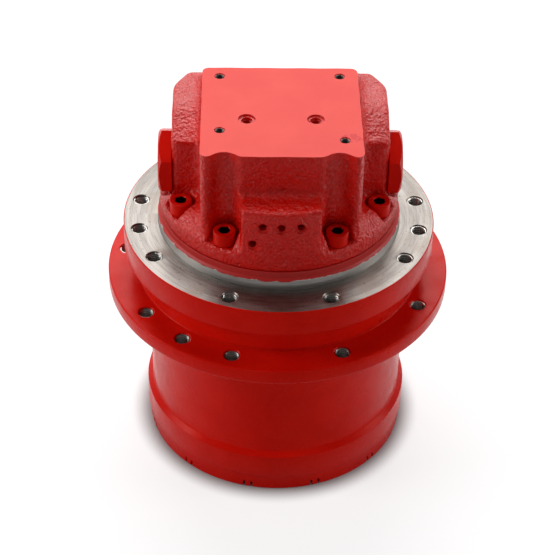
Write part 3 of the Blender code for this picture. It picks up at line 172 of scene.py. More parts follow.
def sum_of_squares(tree, first, second):
    """first * first + second * second, for a distance in the plane of two outputs."""
    squares = [calculate(tree, "MULTIPLY", value, value) for value in (first, second)]
    return calculate(tree, "ADD", *squares)


def raise_by(tree, shader, height, depth_mm, under=None):
    """Bump of depth_mm from a height, on top of another bump if there is one."""
    links = {"Height": height}
    if under is not None:
        links["Normal"] = under
    bump = add(tree, "Bump", {"Distance": depth_mm * MM, "Strength": 1.0}, links)
    tree.links.new(bump.outputs["Normal"], shader.inputs["Normal"])
    return bump.outputs["Normal"]


print("paint red in linear", [round(value, 3) for value in linear("#DB1205")])

# %% [markdown]
# ## Red enamel on turned steel
# The drum and the flange rims are turned, then sprayed with one coat of alkyd enamel. A sprayed
# coat never lies quite flat: it has orange peel, soft dimples about 2 mm apart and a few
# micrometres deep, that bend each reflection a little. Fine feed marks of the lathe show through.

# %% Material: sprayed enamel on turned steel


def sprayed_enamel_on_turned_steel():
    material, tree, shader, place = new_material("sprayed_enamel_on_turned_steel")
    cloud = noise(tree, place, 38, 3)
    colour = blend(tree, spread(tree, cloud, 0.35, 0.7), linear("#D61004"), linear("#DF1608"))
    dust = spread(tree, noise(tree, place, 0.9, 2), 0.70, 0.78, 0.0, 0.5)
    tree.links.new(blend(tree, dust, colour, linear("#A00C04")), shader.inputs["Base Color"])
    shader.inputs["IOR"].default_value = 1.5
    shader.inputs["Specular IOR Level"].default_value = 0.15
    shader.inputs["Specular Tint"].default_value = linear("#FF9A90")
    rough = spread(tree, noise(tree, place, 14, 3), 0.3, 0.7, 0.22, 0.34)
    tree.links.new(rough, shader.inputs["Roughness"])
    feed = noise(tree, place, 0.8, 1, (0.02, 0.02, 1.0))
    marks = raise_by(tree, shader, feed, 0.010)
    raise_by(tree, shader, noise(tree, place, 2.2, 1), 0.020, marks)
    return material


enamel_turned = sprayed_enamel_on_turned_steel()
print("made", enamel_turned.name)

# %% [markdown]
# ## Red enamel on a sand casting
# The motor cover is grey iron cast in sand. The grains of the mould print a pebbled skin, about
# 2 mm from bump to bump once the paint has filled the finest pits. The paint is glossy, so each
# bump carries its own small highlight, and the hollows are painted a deeper red as painted shade.

# %% Material: enamel on sand cast iron


def enamel_on_sand_cast_iron():
    material, tree, shader, place = new_material("enamel_on_sand_cast_iron")
    grain = noise(tree, place, 1.9, 2)
    # Painted shade: the hollows between the pebbles are coloured a deeper red.
    painted_hollow_shade = spread(tree, grain, 0.34, 0.50)
    colour = blend(tree, painted_hollow_shade, linear("#C60C04"), linear("#DA1105"))
    cloud = spread(tree, noise(tree, place, 22, 3), 0.35, 0.7, 0.0, 0.5)
    tree.links.new(blend(tree, cloud, colour, linear("#DB1406")), shader.inputs["Base Color"])
    shader.inputs["IOR"].default_value = 1.5
    shader.inputs["Specular IOR Level"].default_value = 0.08
    shader.inputs["Specular Tint"].default_value = linear("#FFB8B0")
    shader.inputs["Coat Weight"].default_value = 0.60
    shader.inputs["Coat Roughness"].default_value = 0.09
    rough = spread(tree, noise(tree, place, 6, 2), 0.3, 0.7, 0.22, 0.36)
    tree.links.new(rough, shader.inputs["Roughness"])
    pebbles = raise_by(tree, shader, grain, 1.15)
    skin_bump = raise_by(tree, shader, noise(tree, place, 5.5, 2), 1.20, pebbles)
    tree.links.new(skin_bump, shader.inputs["Coat Normal"])
    return material


enamel_cast = enamel_on_sand_cast_iron()
print("made", enamel_cast.name)

# %% [markdown]
# ## Thin red coat on the milled top face
# The top face is milled flat and carries only a thin, matt coat, so it scatters the soft light. Its
# colour is painted lighter and pinker than the walls, as painted sheen of the light above, with
# fine pink specks as painted glints. The milling cutter leaves shallow arcs about 1 mm apart.
# Near one corner hole somebody has touched it up with a brush of fresh, wetter paint.

# %% Material: thin matt coat on a milled face
TOUCH_UP_X, TOUCH_UP_Y = 0.0500, -0.0400
TOUCH_UP_ACROSS, TOUCH_UP_ALONG = 0.0085, 0.0050


def milled_iron_with_painted_sheen():
    material, tree, shader, place = new_material("milled_iron_with_painted_sheen")
    cloud = noise(tree, place, 45, 3)
    # Painted sheen: the top face is coloured lighter and pinker than the walls, for the soft light it
    # mirrors from above.
    base = blend(tree, spread(tree, cloud, 0.3, 0.7), linear("#EE2C1C"), linear("#F43A2A"))
    # Painted glints: fine light pink specks.
    painted_glint = spread(tree, noise(tree, place, 0.7, 2), 0.66, 0.74, 0.0, 0.35)
    base = blend(tree, painted_glint, base, linear("#F2685C"))
    at = add(tree, "SeparateXYZ", {}, {"Vector": place}).outputs
    across = calculate(tree, "DIVIDE", calculate(tree, "SUBTRACT", at["X"], TOUCH_UP_X), TOUCH_UP_ACROSS)
    along = calculate(tree, "DIVIDE", calculate(tree, "SUBTRACT", at["Y"], TOUCH_UP_Y), TOUCH_UP_ALONG)
    ring = sum_of_squares(tree, across, along)
    ragged = calculate(tree, "ADD", ring, spread(tree, noise(tree, place, 3.0, 4), 0.3, 0.7, -1.0, 1.2))
    wet = spread(tree, ragged, 0.55, 0.95, 1.0, 0.0)
    tree.links.new(blend(tree, wet, base, linear("#DC0802")), shader.inputs["Base Color"])
    shader.inputs["Roughness"].default_value = 0.46
    shader.inputs["IOR"].default_value = 1.5
    shader.inputs["Specular IOR Level"].default_value = 0.26
    turn = add(tree, "Mapping", {"Location": (0.0, 0.30, 0.0)}, {"Vector": place}).outputs["Vector"]
    cutter = {"wave_type": "RINGS", "rings_direction": "Z", "Scale": 300.0, "Distortion": 0.6}
    arcs = add(tree, "TexWave", cutter, {"Vector": turn})
    mill = raise_by(tree, shader, arcs.outputs["Fac"], 0.004)
    raise_by(tree, shader, noise(tree, place, 2.5, 1), 0.012, mill)
    return material


sheen_painted_top_coat = milled_iron_with_painted_sheen()
print("made", sheen_painted_top_coat.name)

# %% [markdown]
# ## Bare ground steel with a ragged paint edge
# The frame flange and its pilot must seat true, so they are masked while the hub is sprayed. The
# steel is turned and ground in rings round the spin axis, with light stains and a few dark
# specks of oil. The pilot's wall is turned only, so it scatters more, and its colour is painted
# lighter as painted sheen. Paint has crept under the mask on the pilot, which leaves a ragged red
# edge.

# %% Material: ring ground steel
PILOT_FROM, PILOT_TO = 0.1884, 0.1892
PAINT_FROM, PAINT_TO = 0.1951, 0.1954


def ring_ground_steel():
    material, tree, shader, place = new_material("ring_ground_steel_with_overspray")
    at = add(tree, "SeparateXYZ", {}, {"Vector": place}).outputs
    radius = calculate(tree, "SQRT", sum_of_squares(tree, at["X"], at["Y"]), 0.0)
    turn = calculate(tree, "MULTIPLY", calculate(tree, "ARCTAN2", at["Y"], at["X"]), 0.004)
    along = add(tree, "CombineXYZ", {}, {"X": radius, "Y": turn, "Z": at["Z"]}).outputs["Vector"]
    line = noise(tree, along, 0.55, 3)
    streak = noise(tree, along, 2.6, 3)
    steel = blend(tree, spread(tree, line, 0.30, 0.70), linear("#5C5753"), linear("#7C7772"))
    steel = blend(tree, spread(tree, streak, 0.35, 0.75, 0.0, 0.45), steel, linear("#9A958F"))
    stain = spread(tree, noise(tree, place, 22, 5), 0.48, 0.66, 0.0, 0.55)
    steel = blend(tree, stain, steel, linear("#6E645C"))
    oil = spread(tree, noise(tree, place, 1.6, 3), 0.66, 0.70, 0.0, 0.8)
    steel = blend(tree, oil, steel, linear("#3A3432"))
    pilot = spread(tree, at["Z"], PILOT_FROM, PILOT_TO)
    # Painted sheen: the pilot's wall above the flange face is coloured a lighter steel.
    steel = blend(tree, calculate(tree, "MULTIPLY", pilot, 0.75), steel, linear("#DEDAD6"))
    creep = spread(tree, noise(tree, place, 7.0, 5), 0.3, 0.7, -0.0007, 0.0007)
    edge = calculate(tree, "ADD", at["Z"], creep)
    paint = spread(tree, edge, PAINT_FROM, PAINT_TO)
    tree.links.new(blend(tree, paint, steel, linear("#BE140B")), shader.inputs["Base Color"])
    tree.links.new(spread(tree, paint, 0.0, 1.0, 1.0, 0.0), shader.inputs["Metallic"])
    ground = spread(tree, line, 0.3, 0.7, 0.30, 0.42)
    rough = calculate(tree, "ADD", ground, calculate(tree, "MULTIPLY", pilot, 0.16))
    tree.links.new(rough, shader.inputs["Roughness"])
    raise_by(tree, shader, line, 0.006)
    return material


ground_steel = ring_ground_steel()
print("made", ground_steel.name)

# %% [markdown]
# ## Steels, bronze and rubber
# Threads are cut last, so they are bare steel, dark with cutting oil; on the flanks that face up a
# lighter copy of that steel is painted on as painted light. Gears, shafts and bearing rings are
# case hardened and ground: grey, with fine lines along the way the wheel ran. Plates that rub are
# bearing bronze, the springs are oil tempered wire, and the seals are black nitrile rubber.

# %% Materials: cut thread, hardened steel, bronze and rubber


def lined_metal(name, dark, light, rough, line_mm, stretch, depth_mm):
    """Metal with fine parallel lines: noise of line_mm, drawn out along one axis."""
    material, tree, shader, place = new_material(name)
    line = noise(tree, place, line_mm, 3, stretch)
    cloud = noise(tree, place, 12, 3)
    colour = blend(tree, spread(tree, line, 0.3, 0.7), linear(dark), linear(light))
    colour = blend(tree, spread(tree, cloud, 0.45, 0.75, 0.0, 0.35), colour, linear(dark))
    tree.links.new(colour, shader.inputs["Base Color"])
    shader.inputs["Metallic"].default_value = 1.0
    tree.links.new(spread(tree, cloud, 0.3, 0.7, rough - 0.06, rough + 0.08), shader.inputs["Roughness"])
    raise_by(tree, shader, line, depth_mm)
    return material


def moulded_nitrile_rubber():
    material, tree, shader, place = new_material("moulded_nitrile_rubber")
    bloom = spread(tree, noise(tree, place, 7, 4), 0.4, 0.75)
    tree.links.new(blend(tree, bloom, linear("#151413"), linear("#262423")), shader.inputs["Base Color"])
    tree.links.new(spread(tree, bloom, 0.0, 1.0, 0.55, 0.72), shader.inputs["Roughness"])
    raise_by(tree, shader, noise(tree, place, 0.8, 2), 0.020)
    return material


# Thread steel in two copies: a dark oily one, which on flanks that face down and in deep holes is also
# painted shade, and a lighter one, painted light on flanks that face up.
oily_and_shaded_thread = lined_metal("oily_and_shaded_thread_steel", "#1C1816", "#6E6864", 0.36, 0.7, (1, 1, 3), 0.010)
lit_flank_thread = lined_metal("cut_thread_steel_painted_lit", "#77726E", "#D0CCC6", 0.34, 0.7, (1, 1, 3), 0.010)
hardened = lined_metal("case_hardened_ground_steel", "#5E5E60", "#8A8A8C", 0.28, 0.6, (1, 1, 0.05), 0.004)
TURNED = (0.05, 0.05, 1)
turned_steel = lined_metal("turned_and_hardened_steel", "#565658", "#808084", 0.30, 0.6, TURNED, 0.004)
bronze = lined_metal("turned_bearing_bronze", "#8A5A24", "#B98A48", 0.34, 0.7, TURNED, 0.005)
spring_wire = lined_metal("oil_tempered_spring_wire", "#2E2E30", "#55555A", 0.32, 0.5, (1, 1, 1), 0.004)
rubber = moulded_nitrile_rubber()
metals = (oily_and_shaded_thread, lit_flank_thread, hardened, turned_steel, bronze, spring_wire)
print("made", [metal.name for metal in metals], rubber.name)

# %% [markdown]
# ## From arrays to meshes
# Almost every form here is a grid: a profile of points in one direction, and angles in the other.
# The grid's faces follow from its index numbers alone, so they are worked out once for the whole
# grid. A turned piece is the plainest case, and its profile has its corners rounded first, as a
# turning tool with a rounded tip leaves them.

# %% Mesh helpers


def quads_of(rows, columns, closed_rows):
    """Faces of a grid closed round its columns: (i, j), (i, j+1), (i+1, j+1), (i+1, j)."""
    row = np.arange(rows if closed_rows else rows - 1)[:, None]
    column = np.arange(columns)[None, :]
    below = (row + 1) % rows
    after = (column + 1) % columns
    here, there = row * columns, below * columns
    corners = [here + column, here + after, there + after, there + column]
    return np.stack(corners, axis=-1).reshape(-1, 4)


def mesh_from(name, points, faces):
    """Fills a mesh straight from arrays, in metres, then closes its poles and turns it outwards."""
    mesh = bpy.data.meshes.new(name)
    mesh.vertices.add(len(points))
    mesh.vertices.foreach_set("co", (np.asarray(points, float) * MM).ravel())
    mesh.loops.add(faces.size)
    mesh.loops.foreach_set("vertex_index", faces.ravel())
    mesh.polygons.add(len(faces))
    mesh.polygons.foreach_set("loop_start", np.arange(len(faces)) * faces.shape[1])
    mesh.update(calc_edges=True)
    bm = bmesh.new()
    bm.from_mesh(mesh)
    bmesh.ops.remove_doubles(bm, verts=bm.verts, dist=2e-6)
    bmesh.ops.dissolve_degenerate(bm, edges=bm.edges, dist=1e-7)
    bmesh.ops.recalc_face_normals(bm, faces=bm.faces)
    bm.to_mesh(mesh)
    bm.free()
    return mesh


def rounded(corners, radii, steps=5):
    """Rounds each corner P between A and B: an arc from P + t(A-P)/|A-P| to P + t(B-P)/|B-P|.

    t is the radius over the tangent of half the corner's angle; the arc is a quadratic curve.
    """
    corners = np.array(corners, float)
    share = np.linspace(0, 1, steps)[:, None]
    found = []
    for k, radius in enumerate(radii):
        here = corners[k]
        if radius == 0:
            found.append(here[None])
            continue
        before = corners[k - 1] - here
        after = corners[(k + 1) % len(corners)] - here
        lengths = np.hypot(*before), np.hypot(*after)
        before, after = before / lengths[0], after / lengths[1]
        half = math.acos(np.clip(before @ after, -1, 1)) / 2
        reach = min(radius / math.tan(half), 0.49 * min(lengths))
        start, end = here + before * reach, here + after * reach
        found.append((1 - share) ** 2 * start + 2 * share * (1 - share) * here + share ** 2 * end)
    return np.concatenate(found)


def turned(profile, columns=256, closed=True):
    """x = r cos a, y = r sin a, z = h for each profile point (r, h) and each of the angles a."""
    profile = np.asarray(profile, float)
    angle = np.arange(columns) * 2 * math.pi / columns
    radius, height = profile[:, :1], profile[:, 1:]
    grid = np.stack([
        radius * np.cos(angle),
        radius * np.sin(angle),
        np.broadcast_to(height, (len(profile), columns)),
    ], axis=-1)
    return grid.reshape(-1, 3), quads_of(len(profile), columns, closed)


def turned_round(points, faces, angles):
    """Copies turned about the spin axis: (x cos a - y sin a, x sin a + y cos a, z) for each a."""
    angle = np.asarray(angles, float)[:, None]
    x, y, z = points.T
    copies = np.stack([
        x * np.cos(angle) - y * np.sin(angle),
        x * np.sin(angle) + y * np.cos(angle),
        np.broadcast_to(z, (len(angle), len(z))),
    ], axis=-1)
    shift = (np.arange(len(angle)) * len(points))[:, None, None]
    return copies.reshape(-1, 3), (faces[None] + shift).reshape(-1, faces.shape[1])


def moved(points, faces, places):
    """Copies of a form shifted to each place."""
    places = np.asarray(places, float)
    copies = points[None] + places[:, None]
    shift = (np.arange(len(places)) * len(points))[:, None, None]
    return copies.reshape(-1, 3), (faces[None] + shift).reshape(-1, faces.shape[1])


def together(*forms):
    """Several forms as one, with their face numbers shifted past each other."""
    firsts = np.cumsum([0] + [len(points) for points, _ in forms[:-1]])
    points = np.concatenate([points for points, _ in forms])
    return points, np.concatenate([faces + first for (_, faces), first in zip(forms, firsts)])


def prism(outline, low, high):
    """A flat outline of (x, y) points carried from z = low to z = high, closed by fans."""
    outline = np.asarray(outline, float)
    middle = np.broadcast_to(outline.mean(0), outline.shape)
    rings = [np.column_stack([ring, np.full(len(ring), z)])
             for ring, z in ((middle, low), (outline, low), (outline, high), (middle, high))]
    return np.concatenate(rings), quads_of(4, len(outline), False)


def finished(name, mesh, materials, body, replaced=(), sharp=32):
    """Puts a mesh in the scene, shades it smooth up to a sharp angle, and mounts it on a body."""
    for material in materials:
        mesh.materials.append(material)
    mesh.shade_smooth()
    mesh.set_sharp_from_angle(angle=math.radians(sharp))
    made = bpy.data.objects.new(name, mesh)
    bpy.context.scene.collection.objects.link(made)
    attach(made, body)
    if replaced:
        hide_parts(*replaced)
    print(name, "faces", len(mesh.polygons))
    return made


def carved(mesh, form, operation="DIFFERENCE"):
    """A mesh with a form cut from it by an exact Boolean, as a new mesh."""
    holder = bpy.data.objects.new("holder", mesh)
    cutter = bpy.data.objects.new("cutter", mesh_from("cutter", *form))
    for helper in (holder, cutter):
        bpy.context.scene.collection.objects.link(helper)
    cut = holder.modifiers.new("cut", "BOOLEAN")
    cut.operation = operation
    cut.solver = "EXACT"
    cut.object = cutter
    graph = bpy.context.evaluated_depsgraph_get()
    result = bpy.data.meshes.new_from_object(holder.evaluated_get(graph))
    for helper in (holder, cutter):
        bpy.data.objects.remove(helper)
    return result


def set_slots(mesh, choose):
    """Gives each face the material slot that choose(centre in mm, normal) returns for it."""
    count = len(mesh.polygons)
    centre = np.empty(count * 3)
    normal = np.empty(count * 3)
    mesh.polygons.foreach_get("center", centre)
    mesh.polygons.foreach_get("normal", normal)
    chosen = choose(centre.reshape(-1, 3) / MM, normal.reshape(-1, 3))
    mesh.polygons.foreach_set("material_index", np.asarray(chosen, np.int32))


def front_angles(degrees):
    """Angles counted from the front of the drive, as angles from +X."""
    return np.radians(np.asarray(degrees, float) - 90)


print("a ring of 4 x 8 points has", len(quads_of(4, 8, True)), "faces")

# %% [markdown]
# ## Drum housing
# The drum is one casting, turned all over on the outside: a foot with a raised band, a long
# cylinder, the sprocket flange, and a collar that runs close under the frame flange. One profile
# turned round the axis gives all of it. The holes for the sprocket screws are then cut with a
# small chamfer, as a drill and a countersink leave them.

# %% Drum housing
DRUM_PROFILE = [
    (96.5, 0.0), (100.2, 0.0), (100.2, 13.9), (101.8, 14.7), (101.8, 34.4), (97.8, 37.4),
    (97.8, 132.7), (128.8, 132.7), (128.8, 144.7), (105.6, 144.7), (105.6, 165.8),
    (97.0, 165.8), (97.0, 151.3), (91.5, 151.3), (91.5, 83.1), (80.0, 83.1), (80.0, 77.0),
    (78.2, 77.0), (78.2, 14.3), (96.5, 14.3),
]
DRUM_RADII = [0.4, 0.8, 0.3, 0.8, 0.8, 1.2, 8.0, 1.6, 1.2, 1.8, 0.8] + [0] * 9
SPROCKET_CIRCLE = 116
SPROCKET_ANGLES = [22.8 + 40 * k for k in range(9)] + [-37.2]
TAPPED_RADIUS = 5.7
TAB_ANGLES = [17.3 + 30 * k for k in range(12)]


def drilled(radius, low, high, chamfer, columns=40):
    """A cutter for a hole: radius up to a chamfer below z = high, then wider by the chamfer."""
    mouth, top = radius + chamfer + 0.2, high + 0.2
    profile = [(0, low), (radius, low), (radius, high - chamfer), (mouth, top), (0, top)]
    return turned(profile, columns, False)


def on_circle(form, radius, degrees):
    """Copies of a form on a pitch circle, at angles counted from the front."""
    points, faces = form
    return turned_round(points + (radius, 0, 0), faces, front_angles(degrees))


def slot_pairs():
    """Saw slots through the foot, 1.8 mm wide and 5.5 mm high, on both sides of each tab."""
    box = prism([(93, -0.9), (103, -0.9), (103, 0.9), (93, 0.9)], -1, 5.5)
    sides = [angle + side * 1.65 for angle in TAB_ANGLES for side in (-1, 1)]
    return turned_round(*box, front_angles(sides))


def drum_mesh():
    outer = mesh_from("drum", *turned(rounded(DRUM_PROFILE, DRUM_RADII), 288))
    holes = on_circle(drilled(TAPPED_RADIUS, 131, 144.7, 0.7), SPROCKET_CIRCLE, SPROCKET_ANGLES)
    return carved(carved(outer, holes), slot_pairs())


finished("turned_drum", drum_mesh(), [enamel_turned], "drum", ["drum_housing"])

# %% [markdown]
# ## Threads
# A thread is a V groove along a helix. Rows of points follow the helix, and lie at the root and
# at the crest in turn, so two rows to a pitch give sharp crests with few faces. A plain outer
# wall closes the sleeve, which sits in the drilled hole. The flanks that face up get a lighter
# steel as painted light, and those that face down get the dark oily steel as painted shade.

# %% Threads in the tapped holes
FLANGE_THREAD = {"outer": 5.66, "crest": 5.05, "root": 5.62, "pitch": 1.75}
TOP_THREAD = {"outer": 3.37, "crest": 2.85, "root": 3.34, "pitch": 1.0}


def thread(low, high, outer, crest, root, pitch, columns=32):
    """r = crest on even rows, root on odd rows; z = low + pitch (row / 2 + a / 2 pi), kept in range."""
    rows = int(2 * (high - low) / pitch) + 3
    row = np.arange(rows)[:, None]
    angle = np.arange(columns)[None, :] * 2 * math.pi / columns
    height = np.clip(low + pitch * (row / 2 + angle / (2 * math.pi) - 1), low, high)
    radius = np.where(row % 2 == 0, crest, root) + 0 * angle
    height = np.concatenate([height, np.full((1, columns), high), np.full((1, columns), low)])
    radius = np.concatenate([radius, np.full((2, columns), outer)])
    angle = np.broadcast_to(angle, radius.shape)
    grid = np.stack([radius * np.cos(angle), radius * np.sin(angle), height], axis=-1)
    return grid.reshape(-1, 3), quads_of(rows + 2, columns, True)


def lit_flank_slots(centre, normal):
    """Slot 1 is a flank that faces up, painted light with the lighter steel; slot 0 all the rest."""
    return normal[:, 2] > 0.1


def flange_threads(name, low, high, circle, degrees, body):
    """The threads of one flange as one piece, from z = low to z = high."""
    mesh = mesh_from(name, *on_circle(thread(low=low, high=high, **FLANGE_THREAD), circle, degrees))
    # Flanks that face up take the lighter steel as painted light, and those that face down take the dark
    # steel as painted shade.
    set_slots(mesh, lit_flank_slots)
    return finished(name, mesh, [oily_and_shaded_thread, lit_flank_thread], body)


flange_threads("sprocket_flange_threads", 133.2, 143.9, SPROCKET_CIRCLE, SPROCKET_ANGLES, "drum")

# %% [markdown]
# ## Staked tabs
# The end cover is held by twelve tabs of the drum's own foot, each sawn free at both sides and
# pressed in over the cover's chamfer. A tab is a short bar whose section leans inwards.

# %% Staked tabs


def tab_form():
    """The section (r, z) of a bent tab, carried 3.4 mm along the rim."""
    corners = [(98.3, 0.8), (98.3, 4.6), (96.4, 4.4), (94.3, 2.2), (94.3, 0.8)]
    points, faces = prism(rounded(corners, [0.3, 0, 0.4, 0.4, 0.4]), -1.7, 1.7)
    return points[:, [0, 2, 1]] * (1, -1, 1), faces


tabs = turned_round(*tab_form(), front_angles(TAB_ANGLES))
finished("staked_tabs", mesh_from("tabs", *tabs), [enamel_turned], "drum")

# %% [markdown]
# ## End cover with its two plugs
# The cover closes the drum from below. It is turned, with a shallow dished middle that keeps the
# drain plugs off the ground, and each plug has a hexagon socket.

# %% End cover and plugs
PLUG_OFFSET = 74
SOCKET_FLATS = 8.0


def hexagon(flats, columns=48, turn=0.0):
    """r(a) = (flats / 2) / cos(a mod 60 - 30 degrees), as (x, y) points."""
    angle = np.arange(columns) * 2 * math.pi / columns
    radius = flats / 2 / np.cos(angle % (math.pi / 3) - math.pi / 6)
    return np.column_stack([radius * np.cos(angle + turn), radius * np.sin(angle + turn)])


def end_cover_mesh():
    corners = [(0, 4.5), (57.5, 4.5), (60.0, 2.0), (93.7, 2.0), (96.2, 4.5), (96.2, 14.0), (0, 14.0)]
    outer = mesh_from("end_cover", *turned(rounded(corners, [0, 1.0, 0.8, 0.8, 0.5, 0, 0]), 192, False))
    hole = turned([(0, 0), (10.6, 0), (10.6, 2.9), (8.6, 4.9), (8.6, 15), (0, 15)], 48, False)
    return carved(outer, moved(*hole, [(PLUG_OFFSET, 0, 0), (-PLUG_OFFSET, 0, 0)]))


def socket_plug_mesh(across):
    corners = [(0, 2.3), (8.4, 2.3), (8.4, 13.7), (0, 13.7)]
    body = turned(rounded(corners, [0, 0.6, 0.4, 0]), 48, False)
    mesh = mesh_from("plug", *moved(*body, [(across, 0, 0)]))
    return carved(mesh, moved(*prism(hexagon(SOCKET_FLATS), 0, 7), [(across, 0, 0)]))


finished("turned_end_cover", end_cover_mesh(), [enamel_turned], "drum", ["end_cover"])
for name, across in (("fill", PLUG_OFFSET), ("drain", -PLUG_OFFSET)):
    mesh = socket_plug_mesh(across)
    finished(name + "_socket_plug", mesh, [hardened], "drum", [name + "_plug"])

# %% [markdown]
# ## Spindle hub and frame flange
# The hub stays still while the drum turns round it. Only its flange and pilot are in view: a
# ground ring with eleven tapped holes, a step, and a painted rim. One turned profile holds the
# outside and the motor well inside.

# %% Spindle hub
HUB_PROFILE = [
    (18.0, 77.0), (68.0, 77.0), (68.0, 83.4), (70.0, 83.4), (70.0, 128.3), (79.0, 128.3),
    (79.0, 173.3), (97.0, 173.3), (97.0, 167.3), (115.9, 167.3), (115.9, 188.2),
    (90.0, 188.2), (90.0, 195.6), (88.5, 197.1), (88.5, 202.2), (66.0, 202.2), (66.0, 164.0),
    (60.0, 164.0), (60.0, 118.0), (26.0, 118.0), (26.0, 102.0), (18.0, 102.0),
]
HUB_RADII = [0] * 8 + [0.4, 1.0, 0.7, 0.5, 0.4, 0.4, 0.5] + [0] * 7
FRAME_CIRCLE = 105
FRAME_ANGLES = [20 + 40 * k for k in range(9)] + [80, -80]
PIN_CIRCLE = 48.75
SCREW_CIRCLE = 78.3
SCREW_ANGLES = [30.7, 66.4, 149.3, 180, -149.3, -66.4, -30.7]


def hub_slots(centre, normal):
    """Slot 1 is paint on the flange's rim and below; slot 0 is bare steel, in the holes too."""
    radius = np.hypot(centre[:, 0], centre[:, 1])
    rim = (radius > 115.2) | ((centre[:, 2] < 187.9) & (radius > 96.5) & (normal[:, 2] < 0.3))
    holes = (radius < 112) & (radius > 98) & (np.abs(normal[:, 2]) < 0.3)
    return (rim & ~holes).astype(int)


def hub_mesh():
    outer = mesh_from("hub", *turned(rounded(HUB_PROFILE, HUB_RADII), 288))
    holes = on_circle(drilled(TAPPED_RADIUS, 165, 188.2, 0.7), FRAME_CIRCLE, FRAME_ANGLES)
    screws = on_circle(drilled(5.1, 181.7, 202.2, 0.4, 24), SCREW_CIRCLE, SCREW_ANGLES)
    pin = moved(*drilled(11.1, 70, 103.5, 0.1, 32), [(PIN_CIRCLE, 0, 0)])
    pins = turned_round(*pin, [0, 2 * math.pi / 3, 4 * math.pi / 3])
    mesh = carved(outer, together(holes, screws, pins))
    set_slots(mesh, hub_slots)
    return mesh


hub_finishes = [ground_steel, enamel_turned]
finished("ground_hub", hub_mesh(), hub_finishes, "frame_side", ["spindle_hub"])
flange_threads("frame_flange_threads", 167.8, 187.3, FRAME_CIRCLE, FRAME_ANGLES, "frame_side")

# %% [markdown]
# ## Motor cover: one skin for a sand casting
# A casting has no sharp inner corners: the pattern maker fills each one with a fillet, so its
# forms flow into each other. That is hard to draw face by face. Instead, each form is given as a
# distance: how far a point lies outside it. The smaller of two distances joins two forms, and a
# smooth minimum joins them with a fillet of a chosen size. The skin is where the distance is 0.

# %% Motor cover: distances
BASE_LOW = 202.5
BASE_RADIUS = 88.0
TOP_FACE = 283.2
LOBE_BACK = 58.4


def join(first, second, fillet):
    """Smooth minimum: min(a, b) - h * h * k / 4 with h = max(k - |a - b|, 0) / k."""
    near = np.maximum(fillet - np.abs(first - second), 0) / fillet
    return np.minimum(first, second) - near * near * fillet / 4


def keep(first, second, edge):
    """Smooth maximum, the same formula turned over: what both forms share, with a rounded edge."""
    return -join(-first, -second, edge)


def facing(along, across, start, end):
    """Distance from a slanted plane through two points; the form lies on the right of the line."""
    step = np.array([end[0] - start[0], end[1] - start[1]])
    out = np.array([step[1], -step[0]]) / np.hypot(*step)
    return (along - start[0]) * out[0] + (across - start[1]) * out[1]


def block_distance(x, y, z):
    """A box 114 x 116 mm with upright corners of 5 mm, scooped by the ways of the front screws."""
    ahead = np.abs(x) - 52
    aside = np.abs(y + 5) - 53
    box = np.hypot(np.maximum(ahead, 0), np.maximum(aside, 0)) + np.minimum(np.maximum(ahead, aside), 0) - 5
    scoop = np.hypot(np.abs(x) - 40.0, y + 68.6) - 11.3
    return keep(keep(box, -scoop, 3.4), np.abs(z - 246.5) - 40.5, 1.0)


def lobe_distance(x, y, z):
    """The two side lobes as one bar: flat ends, a sloped front and tapered back corners."""
    side = np.abs(x)
    bar = keep(side - 78.4, -21 - y, 5.0)
    bar = keep(bar, facing(side, y, (68.0, LOBE_BACK), (78.4, 40.0)) * -1, 2.6)
    bar = keep(bar, y - LOBE_BACK, 3.0)
    bar = keep(bar, z - 276.8, 2.6)
    bar = keep(bar, facing(y, z, (-21.0, 266.0), (10.0, 276.4)) * -1, 2.6)
    return keep(bar, 206 - z, 1.0)


def pad_distance(x, y, z):
    """The front pad: 56 mm wide, flush with the base, with a flat ledge on top."""
    pad = keep(np.abs(x) - 28, np.hypot(x, y) - BASE_RADIUS, 1.6)
    return keep(keep(pad, z - 252.2, 2.4), y + 50, 1.0)


def pocket_distance(x, y, z):
    """A round way of 10.6 mm for each screw head, open to the rim, above a floor at z = 213.7."""
    nearest = 99.0
    for angle in front_angles(SCREW_ANGLES):
        out = x * math.cos(angle) + y * math.sin(angle) - SCREW_CIRCLE
        side = y * math.cos(angle) - x * math.sin(angle)
        nearest = np.minimum(nearest, np.hypot(np.minimum(out, 0), side) - 10.6)
    return keep(keep(nearest, 213.7 - z, 1.0), z - 228, 1.0)


def base_distance(x, y, z):
    """The round base: an upright band, then two slopes up to the shoulder at z = 224."""
    radius = np.hypot(x, y)
    base = keep(radius - BASE_RADIUS, facing(radius, z, (BASE_RADIUS, 212.8), (84.2, 218.9)), 1.6)
    base = keep(base, facing(radius, z, (84.2, 218.9), (77.7, 223.6)), 3.0)
    return keep(base, z - 224, 3.0)


def cover_distance(points):
    """Block, lobes and pad joined by fillets of 8 and 9 mm, then to the base; hand is unevenness."""
    x, y, z = points
    body = join(block_distance(x, y, z), lobe_distance(x, y, z), 8.0)
    body = join(body, pad_distance(x, y, z), 9.0)
    whole = keep(join(body, base_distance(x, y, z), 5.0), -pocket_distance(x, y, z), 1.6)
    hand = 0.14 * np.sin(x / 4.3 + 1) * np.sin(y / 3.7) * np.sin(z / 4.9)
    return keep(np.maximum(whole + hand, np.hypot(x, y) - BASE_RADIUS - 0.1), BASE_LOW - z, 1.2)


probe = np.array([[0, 0, 250], [0, -88, 230], [100, 0, 250]], float).T
print("distances at three points", np.round(cover_distance(probe), 2))

# %% [markdown]
# ## From distances to faces
# The distances are worked out on a grid of points 1.1 mm apart. Wherever the sign changes along a
# grid edge, the skin passes. Each small cube that it passes through gets one vertex, at the mean
# of its crossings, and each crossed edge gets one face between the four cubes round it. Last,
# the vertices slide along the distance's slope until they lie on the skin itself.

# %% Motor cover: the skin


